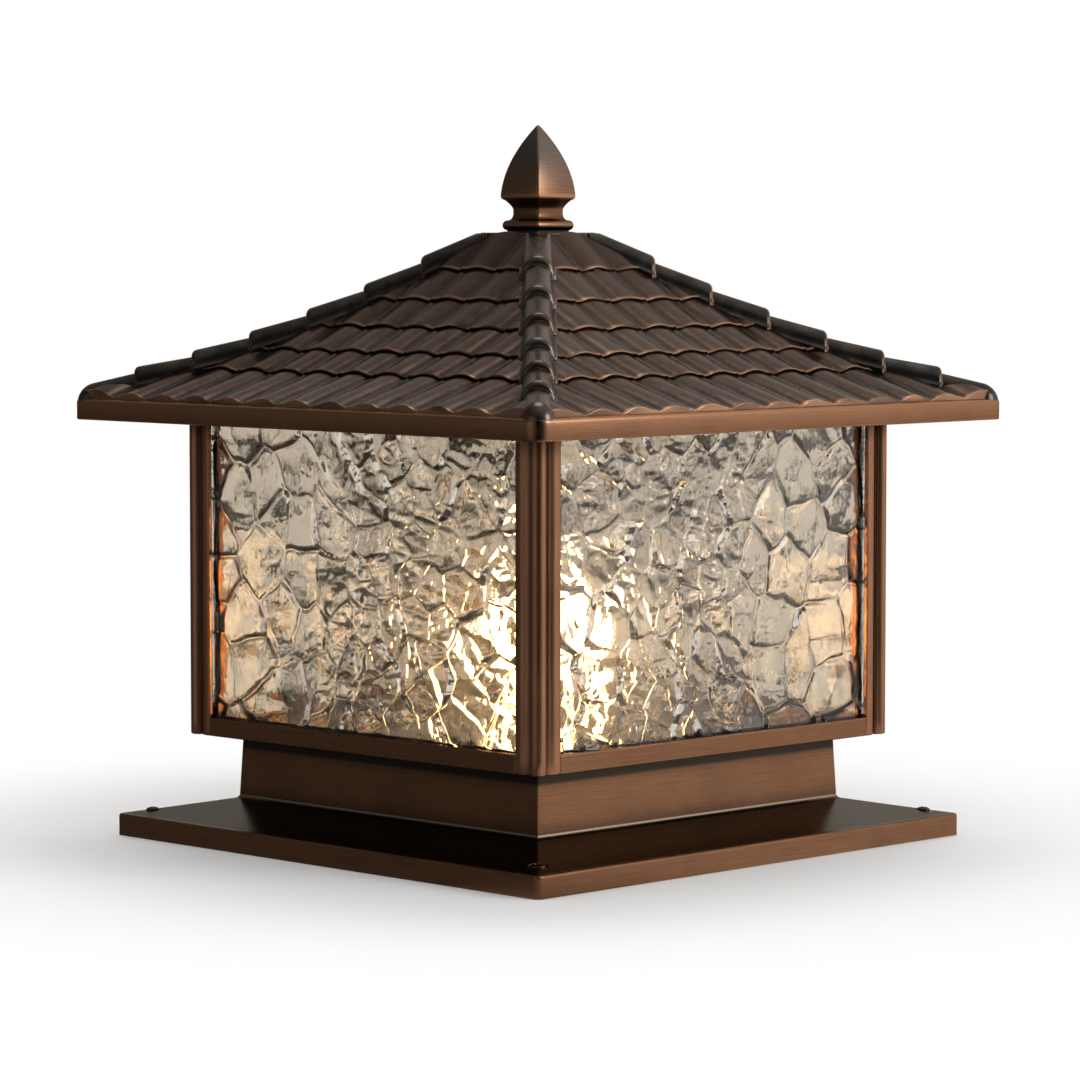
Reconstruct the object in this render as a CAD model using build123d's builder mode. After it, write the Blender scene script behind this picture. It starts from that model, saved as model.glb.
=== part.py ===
from build123d import *
import math
import os

# Base casting: a square flange that bolts to the pillar, with a top that sheds water and a drafted plinth
base_side = 276.0
flange_height = 10.0
flange_corner = 3.0
flange_edge = 1.2
flange_land = 1.0
flange_rise = 7.4
base_wall = 3.0
plinth_side = 192.4
plinth_height = 39.0
plinth_draft = 2.6
plinth_cove = 2.0
fixing_inset = 12.0
fixing_hole_radius = 3.0
fixing_spot_radius = 4.6
floor_boss_radius = 5.0
floor_boss_depth = 16.0
floor_boss_sink = 1.2

# Lantern frame: depths are measured inwards from the plane that the corner beads touch
body_side = 229.0
frame_height = 158.0
bead_radius = 4.0
bead_groove = 2.6
rib_width = 5.9
rib_crest = 0.5
rib_rise = 1.2
post_leg = 14.5
post_end_round = 0.8
frame_wall = 2.0
rail_face = 0.8
rail_edge = 0.6
bottom_rail_height = 8.6
top_rail_height = 9.5
groove_depth = 4.6
ledge_width = 7.0
ledge_thickness = 2.0
ledge_end_gap = 0.5
pane_thickness = 5.0
pane_recess = 3.0
pane_grip = 4.8
pane_fit = 0.2
pane_head_gap = 0.6
seal_thickness = 1.0

# Lantern floor
floor_thickness = 2.0
floor_fit = 0.2
floor_clip = 8.0
bulb_opening_radius = 36.0

# Roof: a fascia, swept faces laid with courses of wavy tiles, and stepped ridges on the hips
roof_side = 304.0
roof_rise = 85.6
roof_wall = 4.0
roof_sweep = 0.45
eave_drop = 12.6
fascia_height = 9.7
fascia_wall = 3.5
fascia_corner = 7.0
fascia_edge = 2.0
plateau_half = 19.4
plateau_thickness = 5.0
plateau_lip = 3.0
tile_courses = 6
tile_step = 2.3
tile_lap = 5.0
plateau_lap = 1.0
tile_cover = 0.7
tile_setback = 5.8
eave_lip = 1.8
eave_sink = 1.7
wave_pitch = 22.4
wave_crest = 14.0
wave_rise = 1.8
ridge_pieces = 7
ridge_radius = 7.0
ridge_nose_rise = 5.2
ridge_lip = 1.2
ridge_lap = 3.0
ridge_bedding = 1.0
hip_gap = 4.0
seat_width = 5.0

# Finial, square in section, and its sealing washer
finial_height = 48.1
finial_half = 12.4
finial_ogive_half = 9.0
finial_shoulder = 15.2
finial_neck_half = 8.3
finial_neck_low = 7.6
finial_neck_high = 9.4
finial_collar_half = 11.8
finial_collar_height = 4.6
finial_collar_round = 1.7
finial_tip_half = 0.9
finial_tip_round = 0.5
finial_bore_depth = 22.0
washer_half = 10.0
washer_thickness = 1.0

# Tie that the finial pulls the roof down on
stud_radius = 3.0
stud_fit = 0.1
stud_hole_clearance = 0.4
stud_tail = 1.5
stud_engagement = 9.6
nut_flats = 10.0
nut_height = 5.0
bar_width = 22.0
bar_thickness = 2.5
bar_corner = 4.0
bar_end_gap = 0.8

# Lamp holder on its hat-shaped bracket, and the bulb, all on the lamp's axis
bracket_width = 30.0
bracket_thickness = 1.5
bracket_bend = 2.5
bracket_half_span = 44.0
bracket_foot = 14.0
bracket_clearance = 7.0
holder_height = 38.5
holder_rim_radius = 21.0
holder_rim_height = 8.0
holder_body_radius = 17.5
holder_base_radius = 19.0
holder_base_height = 5.5
holder_floor = 5.0
holder_screw_at = 11.5
shell_radius = 14.5
shell_wall = 0.9
shell_height = 26.5
shell_fit = 0.1
contact_half = 5.0
contact_width = 5.0
contact_height = 3.0
contact_thickness = 0.5
contact_bend = 0.6
contact_gap = 0.3
tip_radius = 4.5
tip_height = 1.0
insulator_radius = 7.5
insulator_height = 1.7
cap_radius = 13.2
cap_length = 23.0
cap_shoulder = 2.5
globe_radius = 30.0
globe_wall = 1.2
globe_length = 78.0
globe_neck_radius = 13.2
globe_neck_height = 8.5

# Wiring in the base
block_length = 28.0
block_width = 13.0
block_height = 14.0
block_gap = 3.0
block_row = 3.5
block_edge = 0.8
pole_spacing = 9.0
wire_hole_depth = 5.0
lead_radius = 1.2
lead_fit = 0.1
lead_bend = 6.0
lead_rise = 9.5
lead_seat = 3.0
lead_entry = 13.0
lug_half_width = 4.0
lug_length = 7.5
lug_thickness = 0.8

# Screws: radius of the shank, radius of the head, height of the head
m4_shank = 1.9
m4_head = 3.8
m4_crown = 2.4
m3_shank = 1.4
m3_head = 2.7
m3_crown = 1.8
m2_shank = 1.1
m2_head = 1.9
m2_crown = 1.4
screw_clearance = 0.15
countersink_clearance = 0.1
countersink_angle = 90.0
floor_screw_length = 12.0
bracket_screw_length = 6.5
bar_screw_length = 6.0
holder_screw_length = 5.5
frame_screw_length = 4.6
earth_screw_length = 5.0
terminal_screw_length = 4.0
screw_hole_spare = 0.5
rail_screw_spread = 70.0

# Levels and offsets that follow from the sizes above
body_half = body_side / 2
roof_half = roof_side / 2
floor_z = flange_height + plinth_height
floor_top_z = floor_z + floor_thickness
frame_z = floor_z - ledge_thickness
frame_top_z = frame_z + frame_height
bottom_rail_top_z = frame_z + bottom_rail_height
groove_z = bottom_rail_top_z - groove_depth
pane_bottom_z = groove_z + seal_thickness
top_rail_z = frame_top_z - top_rail_height
top_groove_z = top_rail_z + groove_depth
pane_top_z = top_groove_z - pane_head_gap
pane_back = pane_recess + pane_thickness
slot_outer = pane_recess - pane_fit
slot_inner = pane_back + pane_fit
slot_end = post_leg - pane_grip - pane_fit
frame_inner = slot_inner + frame_wall
ledge_inner = frame_inner + ledge_width
ledge_line = body_half - frame_inner - ledge_width / 2
ledge_half = body_half - ledge_inner - ledge_end_gap
rail_half = body_half - post_leg
pane_half = rail_half + pane_grip
floor_half = body_half - frame_inner - floor_fit
floor_screw_at = plinth_side / 2 - base_wall - floor_boss_radius + floor_boss_sink
fixing_spacing = base_side - 2 * fixing_inset
eave_z = frame_top_z - eave_drop
fascia_top_z = eave_z + fascia_height
plateau_z = eave_z + roof_rise
tile_top_z = plateau_z - plateau_lip
tile_drop = tile_top_z - fascia_top_z + eave_sink
crown_drop = plateau_z - fascia_top_z - ridge_nose_rise
course_run = (roof_half - plateau_half) / ridge_pieces
eave_half = roof_half - tile_setback
wave_bend = 2 * wave_rise / wave_pitch
crest_height = wave_crest / 2 * wave_bend
trough_depth = (wave_pitch - wave_crest) / 2 * wave_bend
tile_bed = trough_depth + tile_cover
roof_inner = tile_bed + roof_wall
tile_depth = (tile_bed + tile_step + roof_inner) / 2
seat_half = body_half - pane_recess
finial_z = plateau_z + washer_thickness
bar_top_z = frame_top_z + bar_thickness
web_z = bracket_clearance + bracket_thickness
holder_floor_z = web_z + holder_floor
holder_top_z = web_z + holder_height
tip_z = holder_floor_z + contact_height + contact_gap
insulator_z = tip_z + tip_height
cap_z = insulator_z + insulator_height
globe_z = cap_z + cap_length
block_x = holder_base_radius + block_gap
block_top_z = web_z + block_height
lead_x = block_x + block_row
lead_z = block_top_z + lead_rise
leg_x = bracket_half_span - bracket_thickness
lug_z = lead_z + lug_length
diagonal = math.sqrt(2)

# The four sides and corners, each a quarter turn on from the one before it
quarter_turns = (0, 90, 180, 270)
side_names = ("back", "left", "front", "right")
corner_names = ("back_right", "back_left", "front_left", "front_right")


def save(piece, name):
    """Label a finished piece and write it to its own STEP file."""
    piece.part.label = name
    export_step(piece.part, f"parts/{name}.step")


def save_round(piece, name, endings):
    """Write four copies of a piece, turned about the lamp's axis."""
    for ending, angle in zip(endings, quarter_turns):
        with BuildPart() as copy:
            add(piece.part, rotation=(0, 0, angle))
        save(copy, f"{name}_{ending}")


def pan_screw(shank, head, crown, length):
    """A pan-head screw whose head stands on the plane z = 0, with its shank below."""
    side = crown / 3
    dome = crown - side
    dome_radius = (head**2 + dome**2) / (2 * dome)
    turn = math.asin(head / dome_radius) / 2
    middle = (dome_radius * math.sin(turn), crown - dome_radius + dome_radius * math.cos(turn))
    with BuildPart() as screw:
        with BuildSketch(Plane.XZ):
            with BuildLine():
                Polyline((0, crown), (0, -length), (shank, -length), (shank, 0), (head, 0), (head, side))
                ThreePointArc((head, side), middle, (0, crown))
            make_face()
        revolve(axis=Axis.Z)
    return screw.part


def countersunk_screw(shank, head, length):
    """A countersunk screw whose head is flush with the plane z = 0."""
    with BuildPart() as screw:
        with BuildSketch(Plane.XZ):
            with BuildLine():
                Polyline(
                    (0, 0), (0, -length), (shank, -length), (shank, shank - head), (head, 0), close=True
                )
            make_face()
        revolve(axis=Axis.Z)
    return screw.part


def save_screws(name, screw, places):
    """Write a group of equal screws, one at each place."""
    with BuildPart() as group:
        with Locations(*places):
            add(screw)
    save(group, name)


def mitred(draw_half_profile, reach):
    """A solid with the same half profile on all four sides, mitred along its diagonals."""
    with BuildPart() as body:
        for plane, mode in ((Plane.XZ, Mode.ADD), (Plane.YZ, Mode.INTERSECT)):
            with BuildSketch(plane):
                with BuildLine():
                    draw_half_profile()
                make_face()
                mirror(about=Plane.YZ)
            extrude(amount=reach, both=True, mode=mode)
    return body.part


# Base casting
slope_half = base_side / 2 - flange_edge - flange_land
slope_top_z = flange_height + flange_rise


def plinth_half(z):
    """Half side of the drafted plinth at a height."""
    return plinth_side / 2 + (floor_z - z) * math.tan(math.radians(plinth_draft))


def slope_height(half):
    """Height of the flange's sloping top at a distance from the axis."""
    return flange_height + flange_rise * (slope_half - half) / (slope_half - plinth_half(slope_top_z))


def draw_base_outside():
    """Half profile of the flange's sloping top, the cove and the plinth."""
    slope_start = (slope_half, flange_height)
    plinth_top = (plinth_half(floor_z), floor_z)
    FilletPolyline(slope_start, (plinth_half(slope_top_z), slope_top_z), plinth_top, radius=plinth_cove)
    Polyline(plinth_top, (0, floor_z), (0, 0), (slope_half, 0), slope_start)


def draw_base_inside():
    """Half profile of the hollow under the flange and the plinth."""
    roof_z = slope_top_z - base_wall
    Polyline(
        (0, floor_z),
        (plinth_half(floor_z) - base_wall, floor_z),
        (plinth_half(roof_z) - base_wall, roof_z),
        (base_side / 2 - base_wall, flange_height - base_wall),
        (base_side / 2 - base_wall, 0),
        (0, 0),
        close=True,
    )


with BuildPart() as base_hollow:
    add(mitred(draw_base_inside, base_side))
    with BuildSketch(Plane.XY.offset(floor_z)):
        with GridLocations(2 * floor_screw_at, 2 * floor_screw_at, 2, 2):
            Circle(floor_boss_radius)
    extrude(amount=-floor_boss_depth, mode=Mode.SUBTRACT)
    with BuildSketch():
        with GridLocations(fixing_spacing, fixing_spacing, 2, 2):
            Circle(fixing_inset - base_wall / 2)
    extrude(amount=slope_top_z, mode=Mode.SUBTRACT)

with BuildPart() as base_casting:
    fixing_half = fixing_spacing / 2
    spot_z = slope_height(fixing_half + fixing_spot_radius)
    with BuildSketch():
        RectangleRounded(base_side, base_side, flange_corner)
    extrude(amount=flange_height)
    fillet(base_casting.faces().sort_by(Axis.Z)[-1].edges(), flange_edge)
    add(mitred(draw_base_outside, base_side))
    add(base_hollow.part, mode=Mode.SUBTRACT)
    with Locations((0, 0, slope_top_z)):
        with GridLocations(fixing_spacing, fixing_spacing, 2, 2):
            Hole(fixing_hole_radius, depth=slope_top_z)
            Hole(fixing_spot_radius, depth=slope_top_z - spot_z)
    with Locations((0, 0, floor_z)):
        with GridLocations(2 * floor_screw_at, 2 * floor_screw_at, 2, 2):
            Hole(m4_shank + screw_clearance, depth=floor_screw_length + screw_hole_spare)

# Lantern floor, laid on the plinth and on the ledges of the bottom rails
bracket_screw_at = bracket_half_span + bracket_foot / 2
floor_screw_places = [
    (x, y, floor_top_z)
    for x in (-floor_screw_at, floor_screw_at)
    for y in (-floor_screw_at, floor_screw_at)
]
bracket_screw_places = [(-bracket_screw_at, 0, floor_top_z), (bracket_screw_at, 0, floor_top_z)]
rail_screw_places = [
    place
    for along in (-rail_screw_spread, rail_screw_spread)
    for across in (-ledge_line, ledge_line)
    for place in ((along, across, floor_top_z), (across, along, floor_top_z))
]
with BuildPart() as floor_plate:
    with BuildSketch(Plane.XY.offset(floor_z)) as floor_outline:
        Rectangle(2 * floor_half, 2 * floor_half)
        chamfer(floor_outline.vertices(), floor_clip)
        Circle(bulb_opening_radius, mode=Mode.SUBTRACT)
    extrude(amount=floor_thickness)
    with Locations(*floor_screw_places, *bracket_screw_places):
        Hole(m4_shank + screw_clearance, depth=floor_thickness)
    with Locations(*rail_screw_places):
        Hole(m3_shank + screw_clearance, depth=floor_thickness)

# Corner post of the back right corner: a bead, a groove and a rib on each face, and two pane slots
frame_screw_line = body_half - (frame_inner + post_leg) / 2
frame_screw_face = body_half - frame_inner
lower_screw_z = (frame_z + groove_z) / 2
upper_screw_z = (top_groove_z + frame_top_z) / 2


def frame_screw_planes(level):
    """Planes on the inner walls of the post's two legs, facing into the lantern."""
    return [
        Plane(origin=(frame_screw_line, frame_screw_face, level), z_dir=(0, -1, 0)),
        Plane(origin=(frame_screw_face, frame_screw_line, level), z_dir=(-1, 0, 0)),
    ]


def post_point(depth_x, depth_y):
    """A point of the post's section, by its depths behind the two faces of the lantern."""
    return (body_half - depth_x, body_half - depth_y)


with BuildPart() as corner_post:
    groove_end = bead_radius + math.sqrt(bead_radius**2 - (bead_radius - bead_groove) ** 2)
    bead_top = bead_radius - bead_radius / diagonal
    rib_side = rib_crest + rib_rise
    rib_start = post_leg - rib_width
    rib_middle = post_leg - rib_width / 2
    with BuildSketch(Plane.XY.offset(frame_z)):
        with BuildLine():
            Line(post_point(post_leg, slot_outer), post_point(post_leg, rib_side))
            ThreePointArc(
                post_point(post_leg, rib_side),
                post_point(rib_middle, rib_crest),
                post_point(rib_start, rib_side),
            )
            Line(post_point(rib_start, rib_side), post_point(groove_end, bead_groove))
            ThreePointArc(
                post_point(groove_end, bead_groove),
                post_point(bead_top, bead_top),
                post_point(bead_groove, groove_end),
            )
            Line(post_point(bead_groove, groove_end), post_point(rib_side, rib_start))
            ThreePointArc(
                post_point(rib_side, rib_start),
                post_point(rib_crest, rib_middle),
                post_point(rib_side, post_leg),
            )
            Polyline(
                post_point(rib_side, post_leg),
                post_point(slot_outer, post_leg),
                post_point(slot_outer, slot_end),
                post_point(slot_inner, slot_end),
                post_point(slot_inner, post_leg),
                post_point(frame_inner, post_leg),
                post_point(frame_inner, frame_inner),
                post_point(post_leg, frame_inner),
                post_point(post_leg, slot_inner),
                post_point(slot_end, slot_inner),
                post_point(slot_end, slot_outer),
                post_point(post_leg, slot_outer),
            )
        make_face()
    extrude(amount=frame_height)
    foot_arcs = corner_post.faces().sort_by(Axis.Z)[0].edges().filter_by(GeomType.CIRCLE)
    fillet(foot_arcs, post_end_round)
    with Locations(*frame_screw_planes(lower_screw_z), *frame_screw_planes(upper_screw_z)):
        CounterSinkHole(
            m2_shank + screw_clearance, m2_head + countersink_clearance, frame_wall, countersink_angle
        )

# Bottom rail of the back: a channel for the pane, tongues that enter the posts, and the floor's ledge
with BuildPart() as bottom_rail:
    with BuildSketch(Plane.YZ):
        with BuildLine():
            Polyline(
                (body_half - rail_face, frame_z),
                (body_half - rail_face, bottom_rail_top_z),
                (body_half - slot_outer, bottom_rail_top_z),
                (body_half - slot_outer, groove_z),
                (body_half - slot_inner, groove_z),
                (body_half - slot_inner, bottom_rail_top_z),
                (body_half - frame_inner, bottom_rail_top_z),
                (body_half - frame_inner, frame_z),
                close=True,
            )
        make_face()
    extrude(amount=rail_half, both=True)
    fillet(bottom_rail.faces().sort_by(Axis.Y)[-1].edges().filter_by(Axis.X), rail_edge)
    with BuildSketch(Plane.YZ):
        with Locations((body_half - pane_back, frame_z)):
            Rectangle(pane_thickness, groove_z - frame_z, align=Align.MIN)
    extrude(amount=pane_half, both=True)
    with BuildSketch(Plane.YZ):
        with Locations((body_half - ledge_inner, frame_z)):
            Rectangle(ledge_width, ledge_thickness, align=Align.MIN)
    extrude(amount=ledge_half, both=True)
    with Locations((-rail_screw_spread, ledge_line, floor_z), (rail_screw_spread, ledge_line, floor_z)):
        Hole(m3_shank + screw_clearance, depth=ledge_thickness)
    with Locations(
        Plane(origin=(frame_screw_line, body_half - pane_back, lower_screw_z), z_dir=(0, -1, 0)),
        Plane(origin=(-frame_screw_line, body_half - pane_back, lower_screw_z), z_dir=(0, -1, 0)),
    ):
        Hole(m2_shank + screw_clearance, depth=frame_screw_length - frame_wall)

# Top rail of the back: the same channel turned over, with a ledge for the cross bar
with BuildPart() as top_rail:
    with BuildSketch(Plane.YZ):
        with BuildLine():
            Polyline(
                (body_half - rail_face, frame_top_z),
                (body_half - rail_face, top_rail_z),
                (body_half - slot_outer, top_rail_z),
                (body_half - slot_outer, top_groove_z),
                (body_half - slot_inner, top_groove_z),
                (body_half - slot_inner, top_rail_z),
                (body_half - frame_inner, top_rail_z),
                (body_half - frame_inner, frame_top_z),
                close=True,
            )
        make_face()
    extrude(amount=rail_half, both=True)
    fillet(top_rail.faces().sort_by(Axis.Y)[-1].edges().filter_by(Axis.X), rail_edge)
    with BuildSketch(Plane.YZ):
        with Locations((body_half - pane_back, top_groove_z)):
            Rectangle(pane_thickness, frame_top_z - top_groove_z, align=Align.MIN)
    extrude(amount=pane_half, both=True)
    with BuildSketch(Plane.YZ):
        with Locations((body_half - ledge_inner, frame_top_z - ledge_thickness)):
            Rectangle(ledge_width, ledge_thickness, align=Align.MIN)
    extrude(amount=ledge_half, both=True)
    with Locations((0, ledge_line, frame_top_z)):
        Hole(m4_shank + screw_clearance, depth=ledge_thickness)
    with Locations(
        Plane(origin=(frame_screw_line, body_half - pane_back, upper_screw_z), z_dir=(0, -1, 0)),
        Plane(origin=(-frame_screw_line, body_half - pane_back, upper_screw_z), z_dir=(0, -1, 0)),
    ):
        Hole(m2_shank + screw_clearance, depth=frame_screw_length - frame_wall)

# Glass pane of the back, held in the slots of two posts and the grooves of two rails
with BuildPart() as glass_pane:
    with BuildSketch(Plane.YZ):
        with Locations((body_half - pane_back, pane_bottom_z)):
            Rectangle(pane_thickness, pane_top_z - pane_bottom_z, align=Align.MIN)
    extrude(amount=pane_half, both=True)

# Sealing strips in the grooves under the panes
with BuildPart() as pane_seals:
    with BuildSketch(Plane.XY.offset(groove_z)):
        with PolarLocations(body_half - pane_recess - pane_thickness / 2, 4):
            Rectangle(pane_thickness, 2 * rail_half)
    extrude(amount=seal_thickness)


# Roof casting
def course_half(course):
    """Distance from the axis to the lower edge of a tile course; course 0 is the plateau."""
    return eave_half if course == tile_courses else plateau_half + course * course_run


def swept_height(top, drop, pieces):
    """Height on the roof's hollow sweep, some ridge pieces out from the plateau."""
    share = pieces / ridge_pieces
    return top - drop * ((1 + roof_sweep) * share - roof_sweep * share**2)


def tile_height(course):
    """Height of the roof's tile line where a course ends and the next one starts under it."""
    if course == tile_courses:
        return fascia_top_z + eave_lip - tile_step
    return swept_height(tile_top_z, tile_drop, course)


def draw_shell_outside():
    """Half profile of the roof under its tiles, down into the fascia."""
    fascia_line = roof_half - fascia_wall / 2 - fascia_edge / 2
    slope = [(course_half(course), tile_height(course) - tile_bed) for course in range(tile_courses)]
    Polyline(
        (0, plateau_z),
        (plateau_half, plateau_z),
        *slope,
        (eave_half, fascia_top_z),
        (fascia_line, fascia_top_z),
        (fascia_line, eave_z),
        (0, eave_z),
        close=True,
    )


def draw_shell_inside():
    """Half profile of the hollow under the roof."""
    top_z = plateau_z - plateau_thickness
    soffit_z = fascia_top_z - roof_wall
    slope = [(course_half(course), tile_height(course) - roof_inner) for course in range(1, tile_courses)]
    Polyline(
        (0, top_z),
        (plateau_half - plateau_thickness, top_z),
        *slope,
        (eave_half - roof_wall, soffit_z),
        (roof_half - fascia_wall, soffit_z),
        (roof_half - fascia_wall, eave_z),
        (0, eave_z),
        close=True,
    )


def tile_course(course):
    """One course of the back face: a wavy edge carried up the slope and under the course above."""
    run = course_half(course + 1) - course_half(course)
    edge_z = tile_height(course + 1) + tile_step
    rise = tile_height(course) - edge_z
    lap = 1 + (tile_lap if course else plateau_lap) / run
    crests = math.ceil(course_half(course + 1) / wave_pitch)
    half_crest = wave_crest / 2
    end = crests * wave_pitch + half_crest
    edge = Plane(origin=(0, course_half(course + 1), edge_z), z_dir=(0, -1, 0), x_dir=(1, 0, 0))
    with BuildPart() as tiles:
        with BuildSketch(edge):
            with BuildLine():
                for crest in range(-crests, crests + 1):
                    middle = crest * wave_pitch
                    crest_end = middle + half_crest
                    ThreePointArc((middle - half_crest, 0), (middle, crest_height), (crest_end, 0))
                    if crest < crests:
                        trough = middle + wave_pitch / 2
                        next_crest = middle + wave_pitch - half_crest
                        ThreePointArc((crest_end, 0), (trough, -trough_depth), (next_crest, 0))
                Polyline((end, 0), (end, -tile_depth), (-end, -tile_depth), (-end, 0))
            make_face()
        extrude(amount=lap * math.hypot(run, rise), dir=(0, -run, rise))
    return tiles.part


def ridge_piece(piece):
    """One ridge piece of the back right hip, arched, with a rounded lip at its lower end."""
    nose = piece == ridge_pieces - 1
    upper = plateau_half + piece * course_run
    lower = roof_half - fascia_corner if nose else upper + course_run
    lower_pieces = (lower - plateau_half) / course_run
    crown_z = swept_height(plateau_z, crown_drop, lower_pieces) + (0 if nose else tile_step)
    bed_z = swept_height(tile_top_z, tile_drop, lower_pieces) - tile_bed - ridge_bedding
    way = Vector(upper - lower, upper - lower, swept_height(plateau_z, crown_drop, piece) - crown_z)
    end = Plane(origin=(lower, lower, crown_z), z_dir=way, x_dir=(1, -1, 0))
    skirt = crown_z - bed_z
    with BuildPart() as ridge:
        with BuildSketch(end):
            with BuildLine():
                ThreePointArc((-ridge_radius, -ridge_radius), (0, 0), (ridge_radius, -ridge_radius))
                Polyline(
                    (ridge_radius, -ridge_radius),
                    (ridge_radius, -skirt),
                    (-ridge_radius, -skirt),
                    (-ridge_radius, -ridge_radius),
                )
            make_face()
        extrude(amount=way.length + (ridge_lap if piece else 0))
        if nose:
            with Locations(end.from_local_coords((0, -ridge_radius, 0))):
                Sphere(ridge_radius)
        else:
            lip_face = ridge.faces().filter_by(end).sort_by_distance(end.origin)[0]
            fillet(lip_face.edges().filter_by(GeomType.CIRCLE), ridge_lip)
    return ridge.part


with BuildPart() as tiled_face:
    for course in range(tile_courses):
        add(tile_course(course))
    for hip in ((-1, 1, 0), (1, 1, 0)):
        split(bisect_by=Plane(origin=(0, hip_gap * diagonal, 0), z_dir=hip), keep=Keep.TOP)

with BuildPart() as hip_ridge:
    for piece in range(ridge_pieces):
        add(ridge_piece(piece))

with BuildPart() as roof_casting:
    with BuildSketch(Plane.XY.offset(eave_z)):
        RectangleRounded(roof_side, roof_side, fascia_corner)
    extrude(amount=fascia_height)
    fillet(roof_casting.faces().sort_by(Axis.Z)[-1].edges(), fascia_edge)
    add(mitred(draw_shell_outside, roof_side))
    for angle in quarter_turns:
        add(tiled_face.part, rotation=(0, 0, angle))
        add(hip_ridge.part, rotation=(0, 0, angle))
    add(mitred(draw_shell_inside, roof_side), mode=Mode.SUBTRACT)
    seat_slope = (tile_height(tile_courses - 2) - tile_height(tile_courses - 1)) / course_run
    seat_top_z = tile_height(tile_courses - 1) - tile_bed - roof_wall / 2
    seat_top_z += seat_slope * (course_half(tile_courses - 1) - seat_half + seat_width / 2)
    with BuildSketch(Plane.XY.offset(frame_top_z)):
        Rectangle(2 * seat_half, 2 * seat_half)
        Rectangle(2 * (seat_half - seat_width), 2 * (seat_half - seat_width), mode=Mode.SUBTRACT)
    extrude(amount=seat_top_z - frame_top_z)
    with Locations((0, 0, plateau_z)):
        Hole(stud_radius + stud_hole_clearance, depth=plateau_thickness)


# Finial
def hollow_arc(start, end, corner):
    """An arc between two points that bends towards a corner, as a quarter round does."""
    bend = diagonal - 1
    middle = (Vector(*start) + Vector(*end)) / 2
    ThreePointArc(start, middle + (Vector(*corner) - middle) * bend, end)


def draw_finial():
    """Half profile of the finial: collar bead, coved neck, shoulder and ogive point."""
    collar_top = finial_z + finial_collar_height
    collar_foot = finial_collar_half - finial_collar_round
    neck_low = (finial_neck_half, finial_z + finial_neck_low)
    neck_high = (finial_neck_half, finial_z + finial_neck_high)
    shoulder = (finial_half, finial_z + finial_shoulder)
    top_z = finial_z + finial_height
    tip = (finial_tip_half, top_z - finial_tip_round)
    Polyline((0, top_z), (0, finial_z), (collar_foot, finial_z))
    ThreePointArc(
        (collar_foot, finial_z),
        (finial_collar_half, finial_z + finial_collar_height / 2),
        (collar_foot, collar_top),
    )
    hollow_arc((collar_foot, collar_top), neck_low, (finial_neck_half, collar_top))
    Line(neck_low, neck_high)
    Line(neck_high, shoulder)
    ThreePointArc(shoulder, (finial_ogive_half, (shoulder[1] + tip[1]) / 2), tip)
    Line(tip, (0, top_z))


with BuildPart() as finial:
    add(mitred(draw_finial, 2 * finial_half))
    with BuildSketch(Plane.XY.offset(finial_z)):
        Circle(stud_radius + stud_fit)
    extrude(amount=finial_bore_depth, mode=Mode.SUBTRACT)

with BuildPart() as finial_washer:
    with BuildSketch(Plane.XY.offset(plateau_z)):
        Rectangle(2 * washer_half, 2 * washer_half)
        Circle(stud_radius + stud_fit, mode=Mode.SUBTRACT)
    extrude(amount=washer_thickness)

# Tie: a bar across the top rails, and a stud that stands in it between two nuts
bar_screw_places = [(-ledge_line, 0, bar_top_z), (ledge_line, 0, bar_top_z)]
with BuildPart() as cross_bar:
    with BuildSketch(Plane.XY.offset(frame_top_z)):
        RectangleRounded(2 * (body_half - frame_inner - bar_end_gap), bar_width, bar_corner)
    extrude(amount=bar_thickness)
    with Locations(*bar_screw_places):
        Hole(m4_shank + screw_clearance, depth=bar_thickness)
    with Locations((0, 0, bar_top_z)):
        Hole(stud_radius + stud_fit, depth=bar_thickness)

with BuildPart() as stud_nuts:
    for nut_z in (frame_top_z - nut_height, bar_top_z):
        with BuildSketch(Plane.XY.offset(nut_z)):
            RegularPolygon(nut_flats / 2, 6, major_radius=False)
            Circle(stud_radius + stud_fit, mode=Mode.SUBTRACT)
        extrude(amount=nut_height)

with BuildPart() as roof_stud:
    stud_foot_z = frame_top_z - nut_height - stud_tail
    with BuildSketch(Plane.XY.offset(stud_foot_z)):
        Circle(stud_radius)
    extrude(amount=finial_z + stud_engagement - stud_foot_z)

# Lamp holder bracket, hung from the lantern floor
holder_screw_planes = [
    Plane(origin=(0, y, bracket_clearance), z_dir=(0, 0, -1)) for y in (-holder_screw_at, holder_screw_at)
]
with BuildPart() as holder_bracket:
    strip_leg = bracket_half_span - bracket_thickness / 2
    strip_foot_z = floor_z - bracket_thickness / 2
    strip_web_z = web_z - bracket_thickness / 2
    strip_end = bracket_half_span + bracket_foot
    with BuildSketch(Plane.XZ):
        with BuildLine():
            FilletPolyline(
                (-strip_end, strip_foot_z),
                (-strip_leg, strip_foot_z),
                (-strip_leg, strip_web_z),
                (strip_leg, strip_web_z),
                (strip_leg, strip_foot_z),
                (strip_end, strip_foot_z),
                radius=bracket_bend,
            )
        trace(line_width=bracket_thickness)
    extrude(amount=bracket_width / 2, both=True)
    with Locations((-bracket_screw_at, 0, floor_z), (bracket_screw_at, 0, floor_z)):
        Hole(m4_shank + screw_clearance, depth=bracket_thickness)
    with Locations(*holder_screw_planes):
        Hole(m3_shank + screw_clearance, depth=bracket_thickness)
    with Locations(Plane(origin=(leg_x, 0, lug_z), z_dir=(-1, 0, 0))):
        Hole(m3_shank + screw_clearance, depth=bracket_thickness)

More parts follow.
